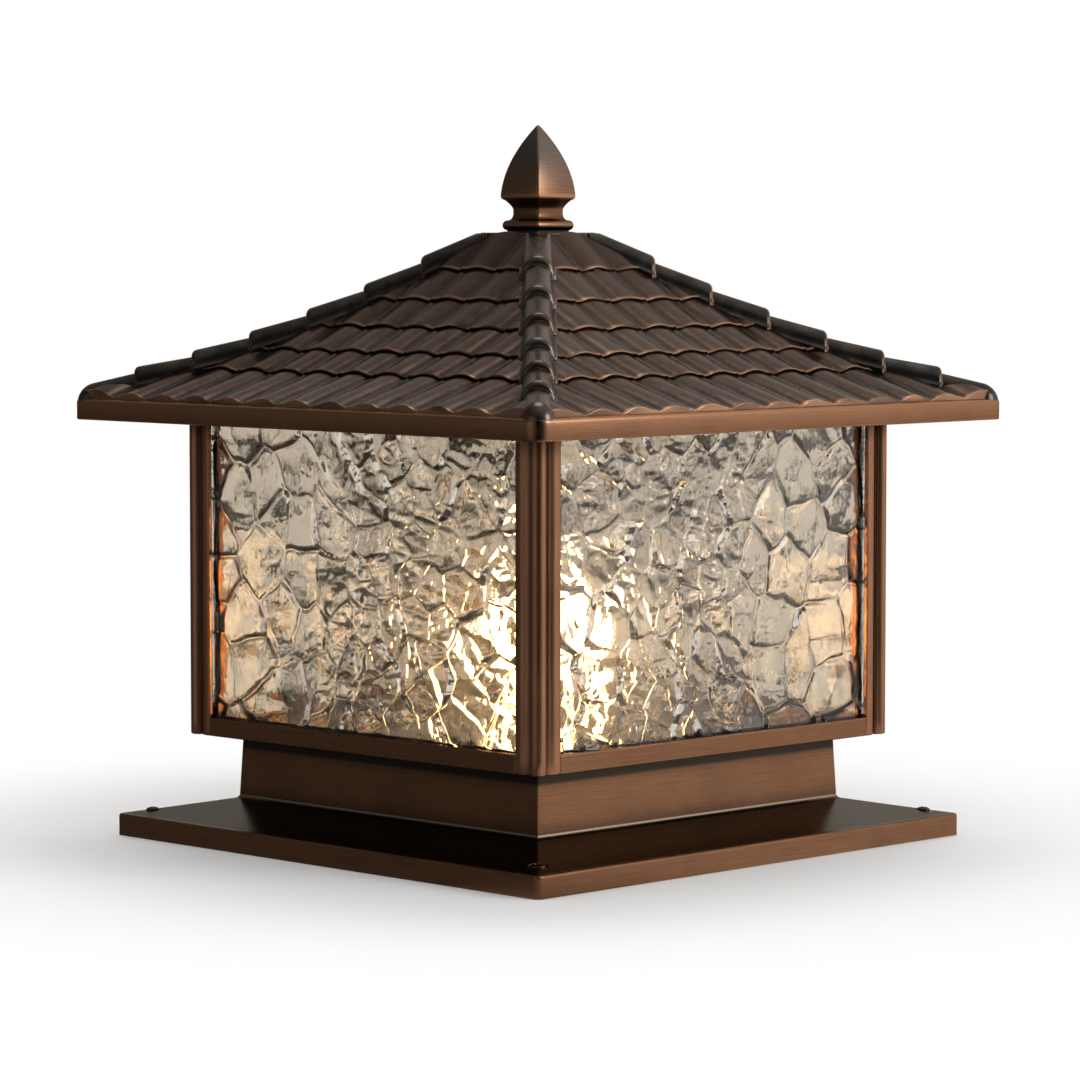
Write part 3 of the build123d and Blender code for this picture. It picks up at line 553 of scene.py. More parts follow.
@dataclass(frozen=True)
class PebbledGlass:
    """Rolled soda-lime glass with a pebbled face.

    Gives the eye cells that bend what lies behind them, a warm grey body colour, a slight haze,
    and bright and dark cell borders from the relief itself.

    Attributes:
        name: name of the finish.
        body: body colour of one pane.
        roughness: roughness of the rolled face.
        haze: share of the light that the glass scatters.
        haze_roughness: how widely it scatters.
        mark: distance between the small rolling marks, mm.
        mark_depth: depth of those marks, mm.
    """

    name: str
    body: str = "#e7dfd2"
    roughness: float = 0.05
    haze: float = 0.08
    haze_roughness: float = 0.6
    mark: float = 3.0
    mark_depth: float = 0.12

    def build(self) -> Material:
        """Make the material.

        Returns:
            The material, a clear and a hazy Principled shader mixed.
        """
        material, tree, clear, place = new_material(self.name)
        hazy = tree.nodes.new("ShaderNodeBsdfPrincipled")
        # The rolling marks are too shallow to be worth points of the mesh.
        marks = add_node(tree, "TexNoise", {"Vector": place, "Scale": 1.0 / (self.mark * MM), "Detail": 2.0})
        bump = add_node(tree, "Bump", {"Height": marks, "Distance": self.mark_depth * MM, "Strength": 1.0})
        for shader, rough in ((clear, self.roughness), (hazy, self.haze_roughness)):
            tree.links.new(bump, shader.inputs["Normal"])
            shader.inputs["Base Color"].default_value = linear(self.body)
            shader.inputs["Roughness"].default_value = rough
            shader.inputs["Transmission Weight"].default_value = 1.0
            shader.inputs["IOR"].default_value = 1.5
        both = add_node(tree, "MixShader", {0: self.haze, 1: clear.outputs[0], 2: hazy.outputs[0]})
        tree.links.new(both, tree.nodes["Material Output"].inputs["Surface"])
        return material


@dataclass(frozen=True)
class OpalGlass:
    """Opal glass of a lit bulb.

    Gives the eye a warm white globe that glows evenly, with a soft gloss.

    Attributes:
        name: name of the finish.
        body: colour of the glass.
        glow: colour of the light.
        strength: brightness of the glow.
        neck_top: height up to which only the neck's glow shows, mm.
        globe_low: height from which the globe's full glow shows, mm.
    """

    name: str
    body: str = "#f3e9d8"
    glow: str = "#ffcf8c"
    strength: float = 12.5
    neck_top: float = 50.0
    globe_low: float = 75.0

    def build(self) -> Material:
        """Make the material.

        Returns:
            The material, on a Principled shader.
        """
        material, tree, shader, place = new_material(self.name)
        height = add_node(tree, "SeparateXYZ", {0: place}, out="Z")
        # The neck holds the driver and glows less than the globe.
        neck = 0.25 * self.strength
        low, top = self.neck_top * MM, self.globe_low * MM
        share = add_node(tree, "MapRange", {0: height, 1: low, 2: top, 3: neck, 4: self.strength})
        tree.links.new(share, shader.inputs["Emission Strength"])
        shader.inputs["Base Color"].default_value = linear(self.body)
        shader.inputs["Emission Color"].default_value = linear(self.glow)
        shader.inputs["Roughness"].default_value = 0.22
        return material


@dataclass(frozen=True)
class PlainFinish:
    """A plain maker's material with fine mottling, for the small and hidden pieces.

    Attributes:
        name: name of the finish.
        colour: middle colour.
        shade: colour of the mottling.
        grain: size of the mottling, mm.
        metallic: 1 for a metal, 0 otherwise.
        roughness: middle value of the roughness.
        relief: height of the mottling, mm.
    """

    name: str
    colour: str
    shade: str
    grain: float = 1.5
    metallic: float = 0.0
    roughness: float = 0.4
    relief: float = 0.01

    def build(self) -> Material:
        """Make the material.

        Returns:
            The material, on a Principled shader.
        """
        material, tree, shader, place = new_material(self.name)
        mottle = add_node(
            tree, "TexNoise", {"Vector": place, "Scale": 1.0 / (self.grain * MM), "Detail": 3.0}
        )
        share = add_node(tree, "MapRange", {0: mottle, 1: 0.35, 2: 0.7})
        colour = add_node(
            tree, "Mix", {0: share, 6: linear(self.colour), 7: linear(self.shade)}, data_type="RGBA", out=2
        )
        gloss = add_node(
            tree, "MapRange",
            {0: mottle, 1: 0.25, 2: 0.75, 3: self.roughness - 0.05, 4: self.roughness + 0.08},
        )
        bump = add_node(tree, "Bump", {"Height": mottle, "Distance": self.relief * MM, "Strength": 1.0})
        tree.links.new(colour, shader.inputs["Base Color"])
        tree.links.new(gloss, shader.inputs["Roughness"])
        tree.links.new(bump, shader.inputs["Normal"])
        shader.inputs["Metallic"].default_value = self.metallic
        return material


@dataclass
class Roof:
    """The cast roof: shell and fascia, wavy tile courses on four faces, and stepped hip ridges.

    Attributes:
        half: half side over the fascia.
        fascia_low: underside of the fascia.
        fascia_top: top of the fascia.
        fascia_wall: thickness of the fascia.
        fascia_corner: corner radius of the fascia.
        fascia_round: round of the fascia's top edge.
        plateau_half: half side of the flat top.
        plateau_z: height of the flat top.
        plateau_thickness: thickness of the flat top.
        plateau_inner: half side of the flat top's underside.
        course_edges: distance from the axis to each course's edge.
        course_lines: height of the tiles' middle line at each edge.
        step: height of a course's lip over the next course.
        pitch: width of one tile.
        crest_chord: width of a tile's crest.
        crest: height of a crest halfway down the roof.
        trough: depth of a trough halfway down the roof.
        seam: height by which one tile stands over its neighbour.
        tile_gap: how far the tiles stop short of the hip, under the ridge.
        corner_lift: how far the eave lifts towards the ridge's nose.
        corner_run: length of that lift along the eave.
        eave_run: length of that lift down the slope.
        skirt: depth of the tiles' underside under the tile line.
        lip_wander: how far the lips wander in and out.
        lip_lift: how far the lips wander up and down.
        uneven: unevenness of the cast faces.
        lip_wear_and_highlight: how much wear and painted highlight each course's lip shows.
        tile_columns: points across a face.
        bed: depth of the shell's outside under the tile line.
        bed_end: distance from the axis at which the shell turns towards the fascia.
        fascia_back: distance from the axis at which it meets the fascia's top.
        inner: depth of the shell's inside under the tile line.
        seat_inner: inner half side of the ring that seats on the frame.
        seat_outer: outer half side of that ring.
        seat_z: underside of that ring.
        soffit_z: underside of the roof behind the fascia.
        stud_hole: radius of the hole for the stud.
        ridge_radius: radius of a ridge piece.
        ridge_step: height of a ridge piece over the next.
        ridge_pieces: pieces on one hip.
        ridge_end: distance from the axis to the ridge's nose.
        ridge_drop: fall of the ridge's crown from top to nose.
        ridge_sweep: how much steeper the crown starts than it ends.
        ridge_lip: round of a ridge piece's lower edge.
        ridge_lap: how far a ridge piece runs under the one above.
        ridge_flare: how much wider it is at its lower end.
        ridge_skirt: depth of its sides under its crown.
    """

    half: float = 152.0
    fascia_low: float = 192.4
    fascia_top: float = 202.1
    fascia_wall: float = 3.5
    fascia_corner: float = 7.0
    fascia_round: float = 2.0
    plateau_half: float = 19.4
    plateau_z: float = 278.0
    plateau_thickness: float = 5.0
    plateau_inner: float = 14.4
    course_edges: tuple[float, ...] = (19.4, 38.343, 57.286, 76.229, 95.172, 114.115, 149.7)
    course_lines: tuple[float, ...] = (277.1, 260.24, 246.83, 234.81, 224.14, 214.86, 202.3)
    step: float = 1.4
    pitch: float = 22.4
    crest_chord: float = 13.0
    crest: float = 0.8
    trough: float = 0.5
    seam: float = 0.7
    tile_gap: float = 5.66
    corner_lift: float = 3.0
    corner_run: float = 16.0
    eave_run: float = 26.0
    skirt: float = 3.4
    lip_wander: float = 0.35
    lip_lift: float = 0.2
    uneven: float = 0.10
    lip_wear_and_highlight: tuple[float, ...] = (0.8, 0.8, 0.75, 0.7, 0.6, 1.0)
    tile_columns: int = 441
    bed: float = 1.4
    bed_end: float = 143.0
    fascia_back: float = 146.4
    inner: float = 5.4
    seat_inner: float = 106.5
    seat_outer: float = 111.5
    seat_z: float = 205.0
    soffit_z: float = 198.1
    stud_hole: float = 3.4
    ridge_radius: float = 7.0
    ridge_step: float = 2.9
    ridge_pieces: int = 7
    ridge_end: float = 149.7
    ridge_drop: float = 70.7
    ridge_sweep: float = 0.45
    ridge_lip: float = 2.0
    ridge_lap: float = 4.0
    ridge_flare: float = 0.45
    ridge_skirt: float = 15.0

    def line(self, reach: np.ndarray) -> np.ndarray:
        """Height of the tiles' middle line at a distance from the axis, straight within a course."""
        return np.interp(reach, self.course_edges, self.course_lines)

    def wave(self, x: np.ndarray, reach: np.ndarray) -> np.ndarray:
        """Height of the tiles' wave: a wide parabola over each crest and a narrow one in each trough.

        The two meet with the same slope, a crest lies on the middle of each face, and the wave
        grows from the top course to the eave.

        Args:
            x: place along the face, mm.
            reach: distance from the axis, mm.

        Returns:
            Height over the middle line, mm.
        """
        off = np.abs((x + self.pitch / 2.0) % self.pitch - self.pitch / 2.0)
        half_crest = self.crest_chord / 2.0
        half_trough = (self.pitch - self.crest_chord) / 2.0
        over = self.crest * (1.0 - (off / half_crest) ** 2)
        under = -self.trough * (1.0 - ((self.pitch / 2.0 - off) / half_trough) ** 2)
        down = np.clip((reach - self.plateau_half) / (self.course_edges[-1] - self.plateau_half), 0.0, 1.0)
        return (0.75 + 0.95 * down**1.5) * np.where(off < half_crest, over, under)

    def seams(self, x: np.ndarray, side: Side) -> np.ndarray:
        """Height of each tile's lapped edge: a jump in the trough that dies away across the tile."""
        hand = 1.0 if side in (Side.FRONT, Side.BACK) else -1.0
        along = (hand * x + self.pitch / 2.0) % self.pitch
        return self.seam * (0.5 * np.exp(-along / 2.5) + 0.5 * (1.0 - along / self.pitch))

    def tile_profile(self) -> tuple[np.ndarray, np.ndarray, np.ndarray, np.ndarray]:
        """Section down one face: each course is a straight run that ends in a half-round lip.

        The last course ends in a quarter round that drops into the fascia.

        Returns:
            Distance from the axis, height, share of lip from 0 to 1, which sets the lip's wear and painted
            highlight, and course number, per row.
        """
        reach, height, lip, course = [], [], [], []
        nose = self.step / 2.0
        for k in range(len(self.course_edges) - 1):
            start, end = self.course_edges[k], self.course_edges[k + 1]
            fall = (self.course_lines[k] - self.course_lines[k + 1] - self.step) / (end - start)
            slope = math.atan(fall)
            centre = end - nose
            centre_z = self.course_lines[k] - fall * (centre - start) - nose / math.cos(slope)
            turn = np.radians(np.linspace(90.0 - math.degrees(slope), -90.0, 9))
            eave = end == self.course_edges[-1]
            nose_w = centre + nose * np.cos(np.maximum(turn, 0.0 if eave else -2.0))
            nose_z = centre_z + nose * np.sin(turn)
            run_w = np.append(np.linspace(start - nose, nose_w[0] - 1.2, 9), nose_w[0] - 0.5)
            run_z = self.course_lines[k] - fall * (run_w - start)
            reach += [run_w, nose_w]
            height += [run_z, nose_z]
            # The lip share is wear and painted highlight; on the eave's down-turn it is painted highlight
            # along the fascia's top.
            run_lip = np.append(np.zeros(9), 0.35)
            lip += [run_lip, np.clip(np.cos(turn) * 1.5 if eave else np.sin(turn) * 1.6 + 0.35, 0.0, 1.0)]
            lip[-1] = np.where(turn < 0.0, 0.7, lip[-1]) if eave else lip[-1]
            course.append(np.full(len(run_w) + len(nose_w), k))
        return np.concatenate(reach), np.concatenate(height), np.concatenate(lip), np.concatenate(course)

    def tiles(self, finish: Material) -> None:
        """Build the tiles of each face.

        The section down the face is carried across it, and the wave and the lapped edges are added
        to its height. Columns run straight down the face and end at the hip, so that a lapped edge
        follows a column. The lips wander by a few tenths of a millimetre, and the eave lifts
        towards its corners.

        Args:
            finish: material of the tiles.
        """
        reach, height, lip, course = self.tile_profile()
        eave = self.course_edges[-1]
        columns = np.linspace(-1.0, 1.0, self.tile_columns) * (eave - self.tile_gap)
        width = reach[:, None] - self.tile_gap
        low_z = np.stack([self.line(reach) - self.skirt] * 2, axis=-1)
        for side in Side:
            seed = 40 + side.value
            x = np.clip(columns[None, :], -width, width)
            lane = course[:, None] * 50.0
            wander = value_noise(x, lane, 9.0, seed)
            lift = value_noise(x, lane, 5.0, seed + 10)
            wave = self.wave(x, reach[:, None])
            near = np.clip(1.0 - (width - np.abs(x)) / self.corner_run, 0.0, 1.0)
            last = np.clip((reach[:, None] - eave + self.eave_run) / self.eave_run, 0.0, 1.0) ** 2
            out = reach[:, None] + self.lip_wander * lip[:, None] * wander
            z = height[:, None] + wave + self.seams(x, side) + self.lip_lift * lip[:, None] * lift
            z = z + self.corner_lift * near**2 * last
            z = z + self.uneven * value_noise(x, reach[:, None] + lane, 6.0, seed + 20)
            low_x = np.stack([x[:, -1], x[:, 0]], axis=-1)
            low_y = -np.stack([reach, reach], axis=-1)
            top = np.stack([x, -out, z], axis=-1)
            low = np.stack([low_x, low_y, low_z], axis=-1)
            grid = np.concatenate([top, low], axis=1)
            # tone is a random tone per tile plus a painted highlight on each crest; trough is patina and
            # painted shade in the pans, strongest 12 mm in from the eave; lip is wear and painted highlight.
            tile = np.floor(x / self.pitch + 0.5)
            tone = 0.5 + 0.5 * np.sin(tile * 12.9898 + course[:, None] * 78.233 + side.value * 37.7)
            pan_tarnish_and_shade = np.clip(0.35 - wave / self.trough * 0.65, 0.0, 1.0)
            ridge = np.clip(wave / self.crest, 0.0, 1.0) ** 2
            spot = np.exp(-(((reach[:, None] - eave + 12.0) / 6.0) ** 2))
            rubbed = np.array(self.lip_wear_and_highlight)[course][:, None]
            masks = {
                "lip": lip[:, None] * rubbed * np.clip(0.6 + 0.5 * wander, 0.1, 1.0),
                "tone": 0.1 + 0.4 * tone + 0.5 * ridge,
                "trough": pan_tarnish_and_shade * (0.55 + 0.45 * spot),
            }
            ends = {key: np.concatenate([m, m[:, -1:], m[:, :1]], axis=1) for key, m in masks.items()}
            surface = Surface()
            surface.add_grid(turned(grid, side), capped=True, **ends)
            surface.put_in(f"roof_tiles_{side.name.lower()}", finish, "roof", sharp=60.0)

    def shell(self, finish: Material) -> None:
        """Build the shell: a closed section carried round a square with rounded corners.

        The section runs over the flat top, down under the tiles, round the fascia, and back up
        inside past the ring that seats on the frame.

        Args:
            finish: material of the shell.
        """
        edges = np.array(self.course_edges)
        inner_wall = self.half - self.fascia_wall
        turn = np.radians(np.linspace(90.0, 0.0, 7))
        round_w = self.half - self.fascia_round * (1.0 - np.cos(turn))
        round_z = self.fascia_top - self.fascia_round * (1.0 - np.sin(turn))
        soffit_w = np.interp(self.soffit_z + self.inner, self.course_lines[::-1], self.course_edges[::-1])
        inside = np.array([self.seat_inner, *edges[5:0:-1][1:], self.plateau_half])
        section = [
            (self.stud_hole, self.plateau_z, self.stud_hole),
            (self.plateau_half - 0.8, self.plateau_z, 1.2),
            (self.plateau_half - 0.2, self.plateau_z - 0.25, 1.6),
            (self.plateau_half, self.plateau_z - 0.8, 1.8),
            (self.plateau_half, self.course_lines[0] - self.bed, 1.8),
            *((w, float(self.line(w)) - self.bed, 2.0) for w in edges[1:-1]),
            (self.bed_end, float(self.line(self.bed_end)) - self.bed, 4.0),
            (self.fascia_back, self.fascia_top, 5.0),
            *((w, z, self.fascia_corner - (self.half - w)) for w, z in zip(round_w, round_z)),
            (self.half, self.fascia_low + 0.7, self.fascia_corner),
            (self.half - 0.2, self.fascia_low + 0.2, self.fascia_corner - 0.2),
            (self.half - 0.7, self.fascia_low, self.fascia_corner - 0.7),
            (inner_wall + 0.5, self.fascia_low, self.fascia_corner - 3.0),
            (inner_wall, self.fascia_low + 0.5, self.fascia_corner - 3.5),
            (inner_wall, self.soffit_z, self.fascia_corner - 3.5),
            (float(soffit_w), self.soffit_z, 3.0),
            (self.seat_outer, float(self.line(self.seat_outer)) - self.inner, 2.0),
            (self.seat_outer, self.seat_z, 2.0),
            (self.seat_inner, self.seat_z, 2.0),
            *((w, float(self.line(w)) - self.inner, 2.0) for w in inside),
            (self.plateau_inner, self.plateau_z - self.plateau_thickness, 2.0),
            (self.stud_hole, self.plateau_z - self.plateau_thickness, self.stud_hole),
        ]
        half, z, corner = np.array(section).T
        # On the fascia, lip paints a highlight along its top edge and a fainter one down its face, partly as
        # wear; trough paints shade in a dark strip along each corner of the shell, down the fascia's rounded
        # corners.
        rubbed = np.where(z > self.fascia_top - 1.3, 0.75, 0.28)
        rubbed = rubbed * (half > self.half - self.fascia_round - 0.1) * (z > self.fascia_low + 2.0)
        greyed = 1.0 * (half < self.plateau_half + 0.1)
        rings = square_rings(half, corner, z)
        arris = np.exp(-(((np.abs(rings[..., 0]) - np.abs(rings[..., 1])) / 2.8) ** 2))
        surface = Surface()
        marks = {"lip": rubbed[:, None] * (1.0 - arris), "tone": greyed[:, None], "trough": 1.4 * arris}
        surface.add_grid(rings, loop=True, **marks)
        surface.put_in("roof_shell", finish, "roof", ("roof_casting",))

    def crown(self, share: float) -> float:
        """Height of the ridge's crown: a fall that starts steep and eases towards the nose."""
        fall = (1.0 + self.ridge_sweep) * share - self.ridge_sweep * share * share
        return self.plateau_z - self.ridge_drop * fall

    def ridge_piece(self, number: int) -> tuple[np.ndarray, np.ndarray]:
        """One arched piece of the front right hip.

        A half-round section with soft flared feet is carried down the hip. It widens a little
        towards its lower end and shrinks there round a lip; the last piece loses its feet and
        shrinks to a quarter sphere, which runs into the fascia's corner.

        Args:
            number: which piece, from the top.

        Returns:
            Points of shape (rows, columns, 3), and per row the share of painted highlight on the lip.
        """
        nose = number == self.ridge_pieces - 1
        arc = np.radians(np.linspace(-76.0, 76.0, 27))
        foot_l = np.array([1.01, 1.05, 1.10, 1.16, 1.22, 1.22])
        foot_z = np.array([-0.90, -1.01, -1.09, -1.15, -1.20, -2.3])
        across = np.concatenate([-foot_l[::-1], np.sin(arc), foot_l])
        drop = np.concatenate([foot_z[::-1], np.cos(arc) - 1.0, foot_z])
        ends = np.linspace(self.plateau_half, self.ridge_end, self.ridge_pieces + 1) * math.sqrt(2.0)
        top, low = ends[number], ends[number + 1]
        high = self.crown(number / self.ridge_pieces)
        base = self.crown((number + 1) / self.ridge_pieces) + (0.0 if nose else self.ridge_step)
        lip = self.ridge_radius - 0.05 if nose else self.ridge_lip
        bend = np.radians(np.linspace(0.0, 89.0 if nose else 82.0, 13 if nose else 9))
        straight = np.linspace(top - self.ridge_lap, low - lip, 7)[:-1]
        run = np.concatenate([straight, low - lip + lip * np.sin(bend)])
        slide = (run - top) / (low - top)
        inset = np.concatenate([np.zeros(6), lip * (1.0 - np.cos(bend))])
        radius = self.ridge_radius - self.ridge_flare * (1.0 - np.clip(slide, 0.0, 1.0)) - inset
        level = high + (base - high) * slide - inset
        feet = np.concatenate([np.ones(6), np.cos(bend) if nose else np.ones(len(bend))])[:, None]
        spread = np.where(np.abs(across) > 1.0, 1.0 + (np.abs(across) - 1.0) * feet**4, np.abs(across))
        sunk = np.where((drop < -2.2) & nose, 0.85, 0.985 if nose else 1.0)
        side_l = radius[:, None] * spread * sunk * np.sign(across)
        z = level[:, None] + radius[:, None] * drop
        z = np.where(drop <= -2.2, (level + inset)[:, None] - self.ridge_skirt, z)
        z = np.minimum(z, self.plateau_z - 0.05)
        x = (run[:, None] + side_l) / math.sqrt(2.0)
        y = -(run[:, None] - side_l) / math.sqrt(2.0)
        lip_highlight = np.concatenate([np.zeros(6), np.clip(np.sin(bend) * 2.0 - 1.0, 0.0, 1.0)])
        return np.stack([x, y, z], axis=-1), lip_highlight * (0.0 if nose else 0.6)

    def ridges(self, finish: Material) -> None:
        """Build the ridges: the arched pieces of one hip, lapped like tiles, turned to all four.

        Args:
            finish: material of the ridges.
        """
        surface = Surface()
        for number in range(self.ridge_pieces):
            grid, lip_highlight = self.ridge_piece(number)
            for quarter in Side:
                # The side hips get a painted highlight on their pieces' lips and painted shade on their
                # bodies; the front and back ones get neither.
                wear_and_painted_light = 1.0 if quarter in (Side.RIGHT, Side.LEFT) else 0.0
                tone = np.full(grid.shape[:2], 0.8 + 0.2 * math.sin(number * 2.7 + quarter.value))
                marks = {"lip": wear_and_painted_light * lip_highlight[:, None], "tone": tone, "trough": 0.6 * wear_and_painted_light}
                surface.add_grid(turned(grid, quarter), capped=True, **marks)
        surface.put_in("roof_ridges", finish, "roof", sharp=50.0)

    def build(self, cast: Material, tiled: Material, ridged: Material) -> None:
        """Build the shell, the tiles and the ridges.

        Args:
            cast: finish of the shell and fascia.
            tiled: finish of the tiles.
            ridged: finish of the ridges.
        """
        self.shell(cast)
        self.tiles(tiled)
        self.ridges(ridged)


@dataclass
class Finial:
    """The four-sided finial: collar bead, coved neck, shoulder and ogive point.

    Attributes:
        foot_z: underside of the collar.
        height: height over the collar's underside.
        half: half side at the shoulder.
        shoulder: height of the shoulder.
        ogive_half: half side halfway up the point.
        neck_half: half side of the neck.
        neck_low: lower end of the neck.
        neck_high: upper end of the neck.
        collar_half: half side of the collar.
        collar_height: height of the collar.
        collar_round: how far the collar's bead bulges.
        tip_half: half side of the tip.
        arris: radius of the arrises.
        bore: radius of the threaded bore.
        bore_depth: depth of the bore.
    """

    foot_z: float = 279.0
    height: float = 48.1
    half: float = 12.4
    shoulder: float = 15.2
    ogive_half: float = 9.0
    neck_half: float = 8.3
    neck_low: float = 7.6
    neck_high: float = 9.4
    collar_half: float = 11.8
    collar_height: float = 4.6
    collar_round: float = 1.7
    tip_half: float = 0.9
    arris: float = 0.9
    bore: float = 3.1
    bore_depth: float = 22.0

    def build(self, finish: Material) -> None:
        """Carry the half profile round a square with soft arrises; the bore's rings are circles.

        The profile is a half-round bead, a quarter ellipse into the neck, a power curve out to the
        shoulder, a small round there, and a parabola to the tip.

        Args:
            finish: material of the finial.
        """
        turn = np.radians(np.linspace(-90.0, 90.0, 13))
        foot = self.collar_half - self.collar_round
        bead_w = foot + self.collar_round * np.cos(turn)
        bead_z = self.collar_height / 2.0 * (1.0 + np.sin(turn))
        bend = np.radians(np.linspace(0.0, 90.0, 9))
        cove_w = foot - (foot - self.neck_half) * np.sin(bend)
        cove_z = self.neck_low - (self.neck_low - self.collar_height) * np.cos(bend)
        climb = np.linspace(0.0, 1.0, 12)
        under_w = self.neck_half + (self.half - 1.5 - self.neck_half) * climb**1.5
        under_z = self.neck_high + (self.shoulder - 1.5 - self.neck_high) * climb
        rise = np.linspace(0.0, 1.0, 25)
        tip_z = self.height - 0.5
        bulge = 4.0 * (self.ogive_half - (self.half + self.tip_half) / 2.0)
        point_w = self.half + (self.tip_half - self.half) * rise + bulge * rise * (1.0 - rise)
        point_z = self.shoulder + 0.6 + (tip_z - self.shoulder - 0.6) * rise
        half = np.concatenate([
            [0.02, self.bore, self.bore], bead_w, cove_w[1:], under_w,
            self.half - np.array([0.8, 0.35, 0.08]), point_w, [self.tip_half * 0.6, 0.02],
        ])
        z = np.concatenate([
            [self.bore_depth, self.bore_depth, 0.0], bead_z, cove_z[1:], under_z,
            self.shoulder - np.array([1.15, 0.65, 0.1]), point_z, [self.height - 0.12, self.height],
        ])
        corner = np.minimum(half, self.arris)
        corner[:3] = half[:3]
        rings = square_rings(half, corner, z + self.foot_z, arc=5)
        blank = np.zeros(rings.shape[:2])
        # Finial marks: tone greys it towards the top; trough is painted shade under the shoulder; lip is
        # wear and painted highlight on the shoulder's edge and the collar's bead.
        tone = np.clip((z - self.shoulder) / (self.height - self.shoulder) * 1.3, 0.0, 1.0)[:, None] + blank
        hidden = np.clip(1.0 - np.abs(z - self.shoulder + 2.6) / 2.0, 0.0, 1.0)[:, None] * 0.8 + blank
        rubbed = np.exp(-(((z - self.shoulder - 0.4) / 0.9) ** 2)) + 0.8 * np.exp(-(((z - 2.9) / 0.8) ** 2))
        surface = Surface()
        surface.add_grid(rings, capped=True, tone=tone, trough=hidden, lip=0.55 * rubbed[:, None] + blank)
        surface.put_in("finial_spear", finish, "finial", ("finial",), sharp=50.0)


@dataclass
class Posts:
    """The four corner posts: a round bead on the corner, a groove and a rib on each face, two slots.

    Depths are measured inwards from the two faces of the lantern.

    Attributes:
        face: distance of the lantern's faces from the axis.
        foot_z: lower end of a post.
        top_z: upper end of a post.
        bead: radius of the corner bead.
        leg: width of a leg.
        rib: width of a rib.
        rib_crest: depth of a rib's crest.
        rib_side: depth of a rib's side by the groove.
        rail_side: depth of a rib's side by the rails.
        groove: depth of the groove between bead and rib.
        slot_outer: depth of the slot's outer wall.
        slot_inner: depth of the slot's inner wall.
        slot_end: where the slot ends, from the corner.
        inner: depth of the inner face.
        foot_round: round of the lower end.
    """

    face: float = 114.5
    foot_z: float = 47.0
    top_z: float = 205.0
    bead: float = 3.5
    leg: float = 14.5
    rib: float = 5.7
    rib_crest: float = 0.5
    rib_side: float = 1.6
    rail_side: float = 0.85
    groove: float = 2.5
    slot_outer: float = 2.8
    slot_inner: float = 8.2
    slot_end: float = 9.5
    inner: float = 10.2
    foot_round: float = 0.8

    def section(self) -> np.ndarray:
        """Outline of a post by its two depths: one leg's rib, the bead, the other leg, the slots.

        The rib is two arcs of parabolas, the groove a cosine, and the bead most of three quarters of
        a circle.

        Returns:
            Points of shape (n, 2), mm.
        """
        share = np.linspace(1.0, -1.0, 9)
        rib_along = self.leg - self.rib / 2.0 + share * self.rib / 2.0
        sides = np.where(share > 0.0, self.rail_side, self.rib_side)
        rib_deep = self.rib_crest + (sides - self.rib_crest) * share**2
        middle = self.bead + 0.05
        lift = math.asin((middle - self.groove) / self.bead)
        start, end = self.leg - self.rib, middle + self.bead * math.cos(lift)
        swing = np.linspace(0.0, 1.0, 8)[1:-1]
        groove_along = start + (end - start) * swing
        groove_deep = self.rib_side + (self.groove - self.rib_side) * (0.5 - 0.5 * np.cos(np.pi * swing))
        turn = np.linspace(-lift, lift - 1.5 * np.pi, 40)
        bead = middle + self.bead * np.stack([np.cos(turn), np.sin(turn)], axis=-1)
        leg = np.stack(
            [np.concatenate([rib_along, groove_along]), np.concatenate([rib_deep, groove_deep])], axis=-1
        )
        inside = np.array([
            (self.slot_outer, self.leg), (self.slot_outer, self.slot_end), (self.slot_inner, self.slot_end),
            (self.slot_inner, self.leg), (self.inner, self.leg), (self.inner, self.inner),
            (self.leg, self.inner), (self.leg, self.slot_inner), (self.slot_end, self.slot_inner),
            (self.slot_end, self.slot_outer), (self.leg, self.slot_outer),
        ])
        return np.concatenate([leg, bead, leg[::-1, ::-1], inside])

    def build(self, finish: Material) -> None:
        """Carry the section up each corner; it draws in a little at the foot.

        Args:
            finish: material of the posts.
        """
        section = self.section()
        turn = np.radians(np.linspace(0.0, 90.0, 5))
        round_z = self.foot_z + self.foot_round * (1.0 - np.cos(turn))
        draw = self.foot_round * (1.0 - np.sin(turn))
        z = np.concatenate([round_z, np.linspace(self.foot_z + 6.0, self.top_z, 12)])
        draw = np.concatenate([draw, np.zeros(12)])[:, None]
        deep_x = section[None, :, 0] + draw * (section[None, :, 0] < self.slot_outer)
        deep_y = section[None, :, 1] + draw * (section[None, :, 1] < self.slot_outer)
        level = np.broadcast_to(z[:, None], deep_x.shape)
        grid = np.stack([self.face - deep_x, -(self.face - deep_y), level], axis=-1)
        corners = ("front_right", "back_right", "back_left", "front_left")
        for side, corner in zip(Side, corners):
            surface = Surface()
            surface.add_grid(turned(grid, side), capped=True)
            node = f"corner_post_{corner}"
            surface.put_in(f"beaded_post_{corner}", finish, "lantern", (node,), sharp=42.0)


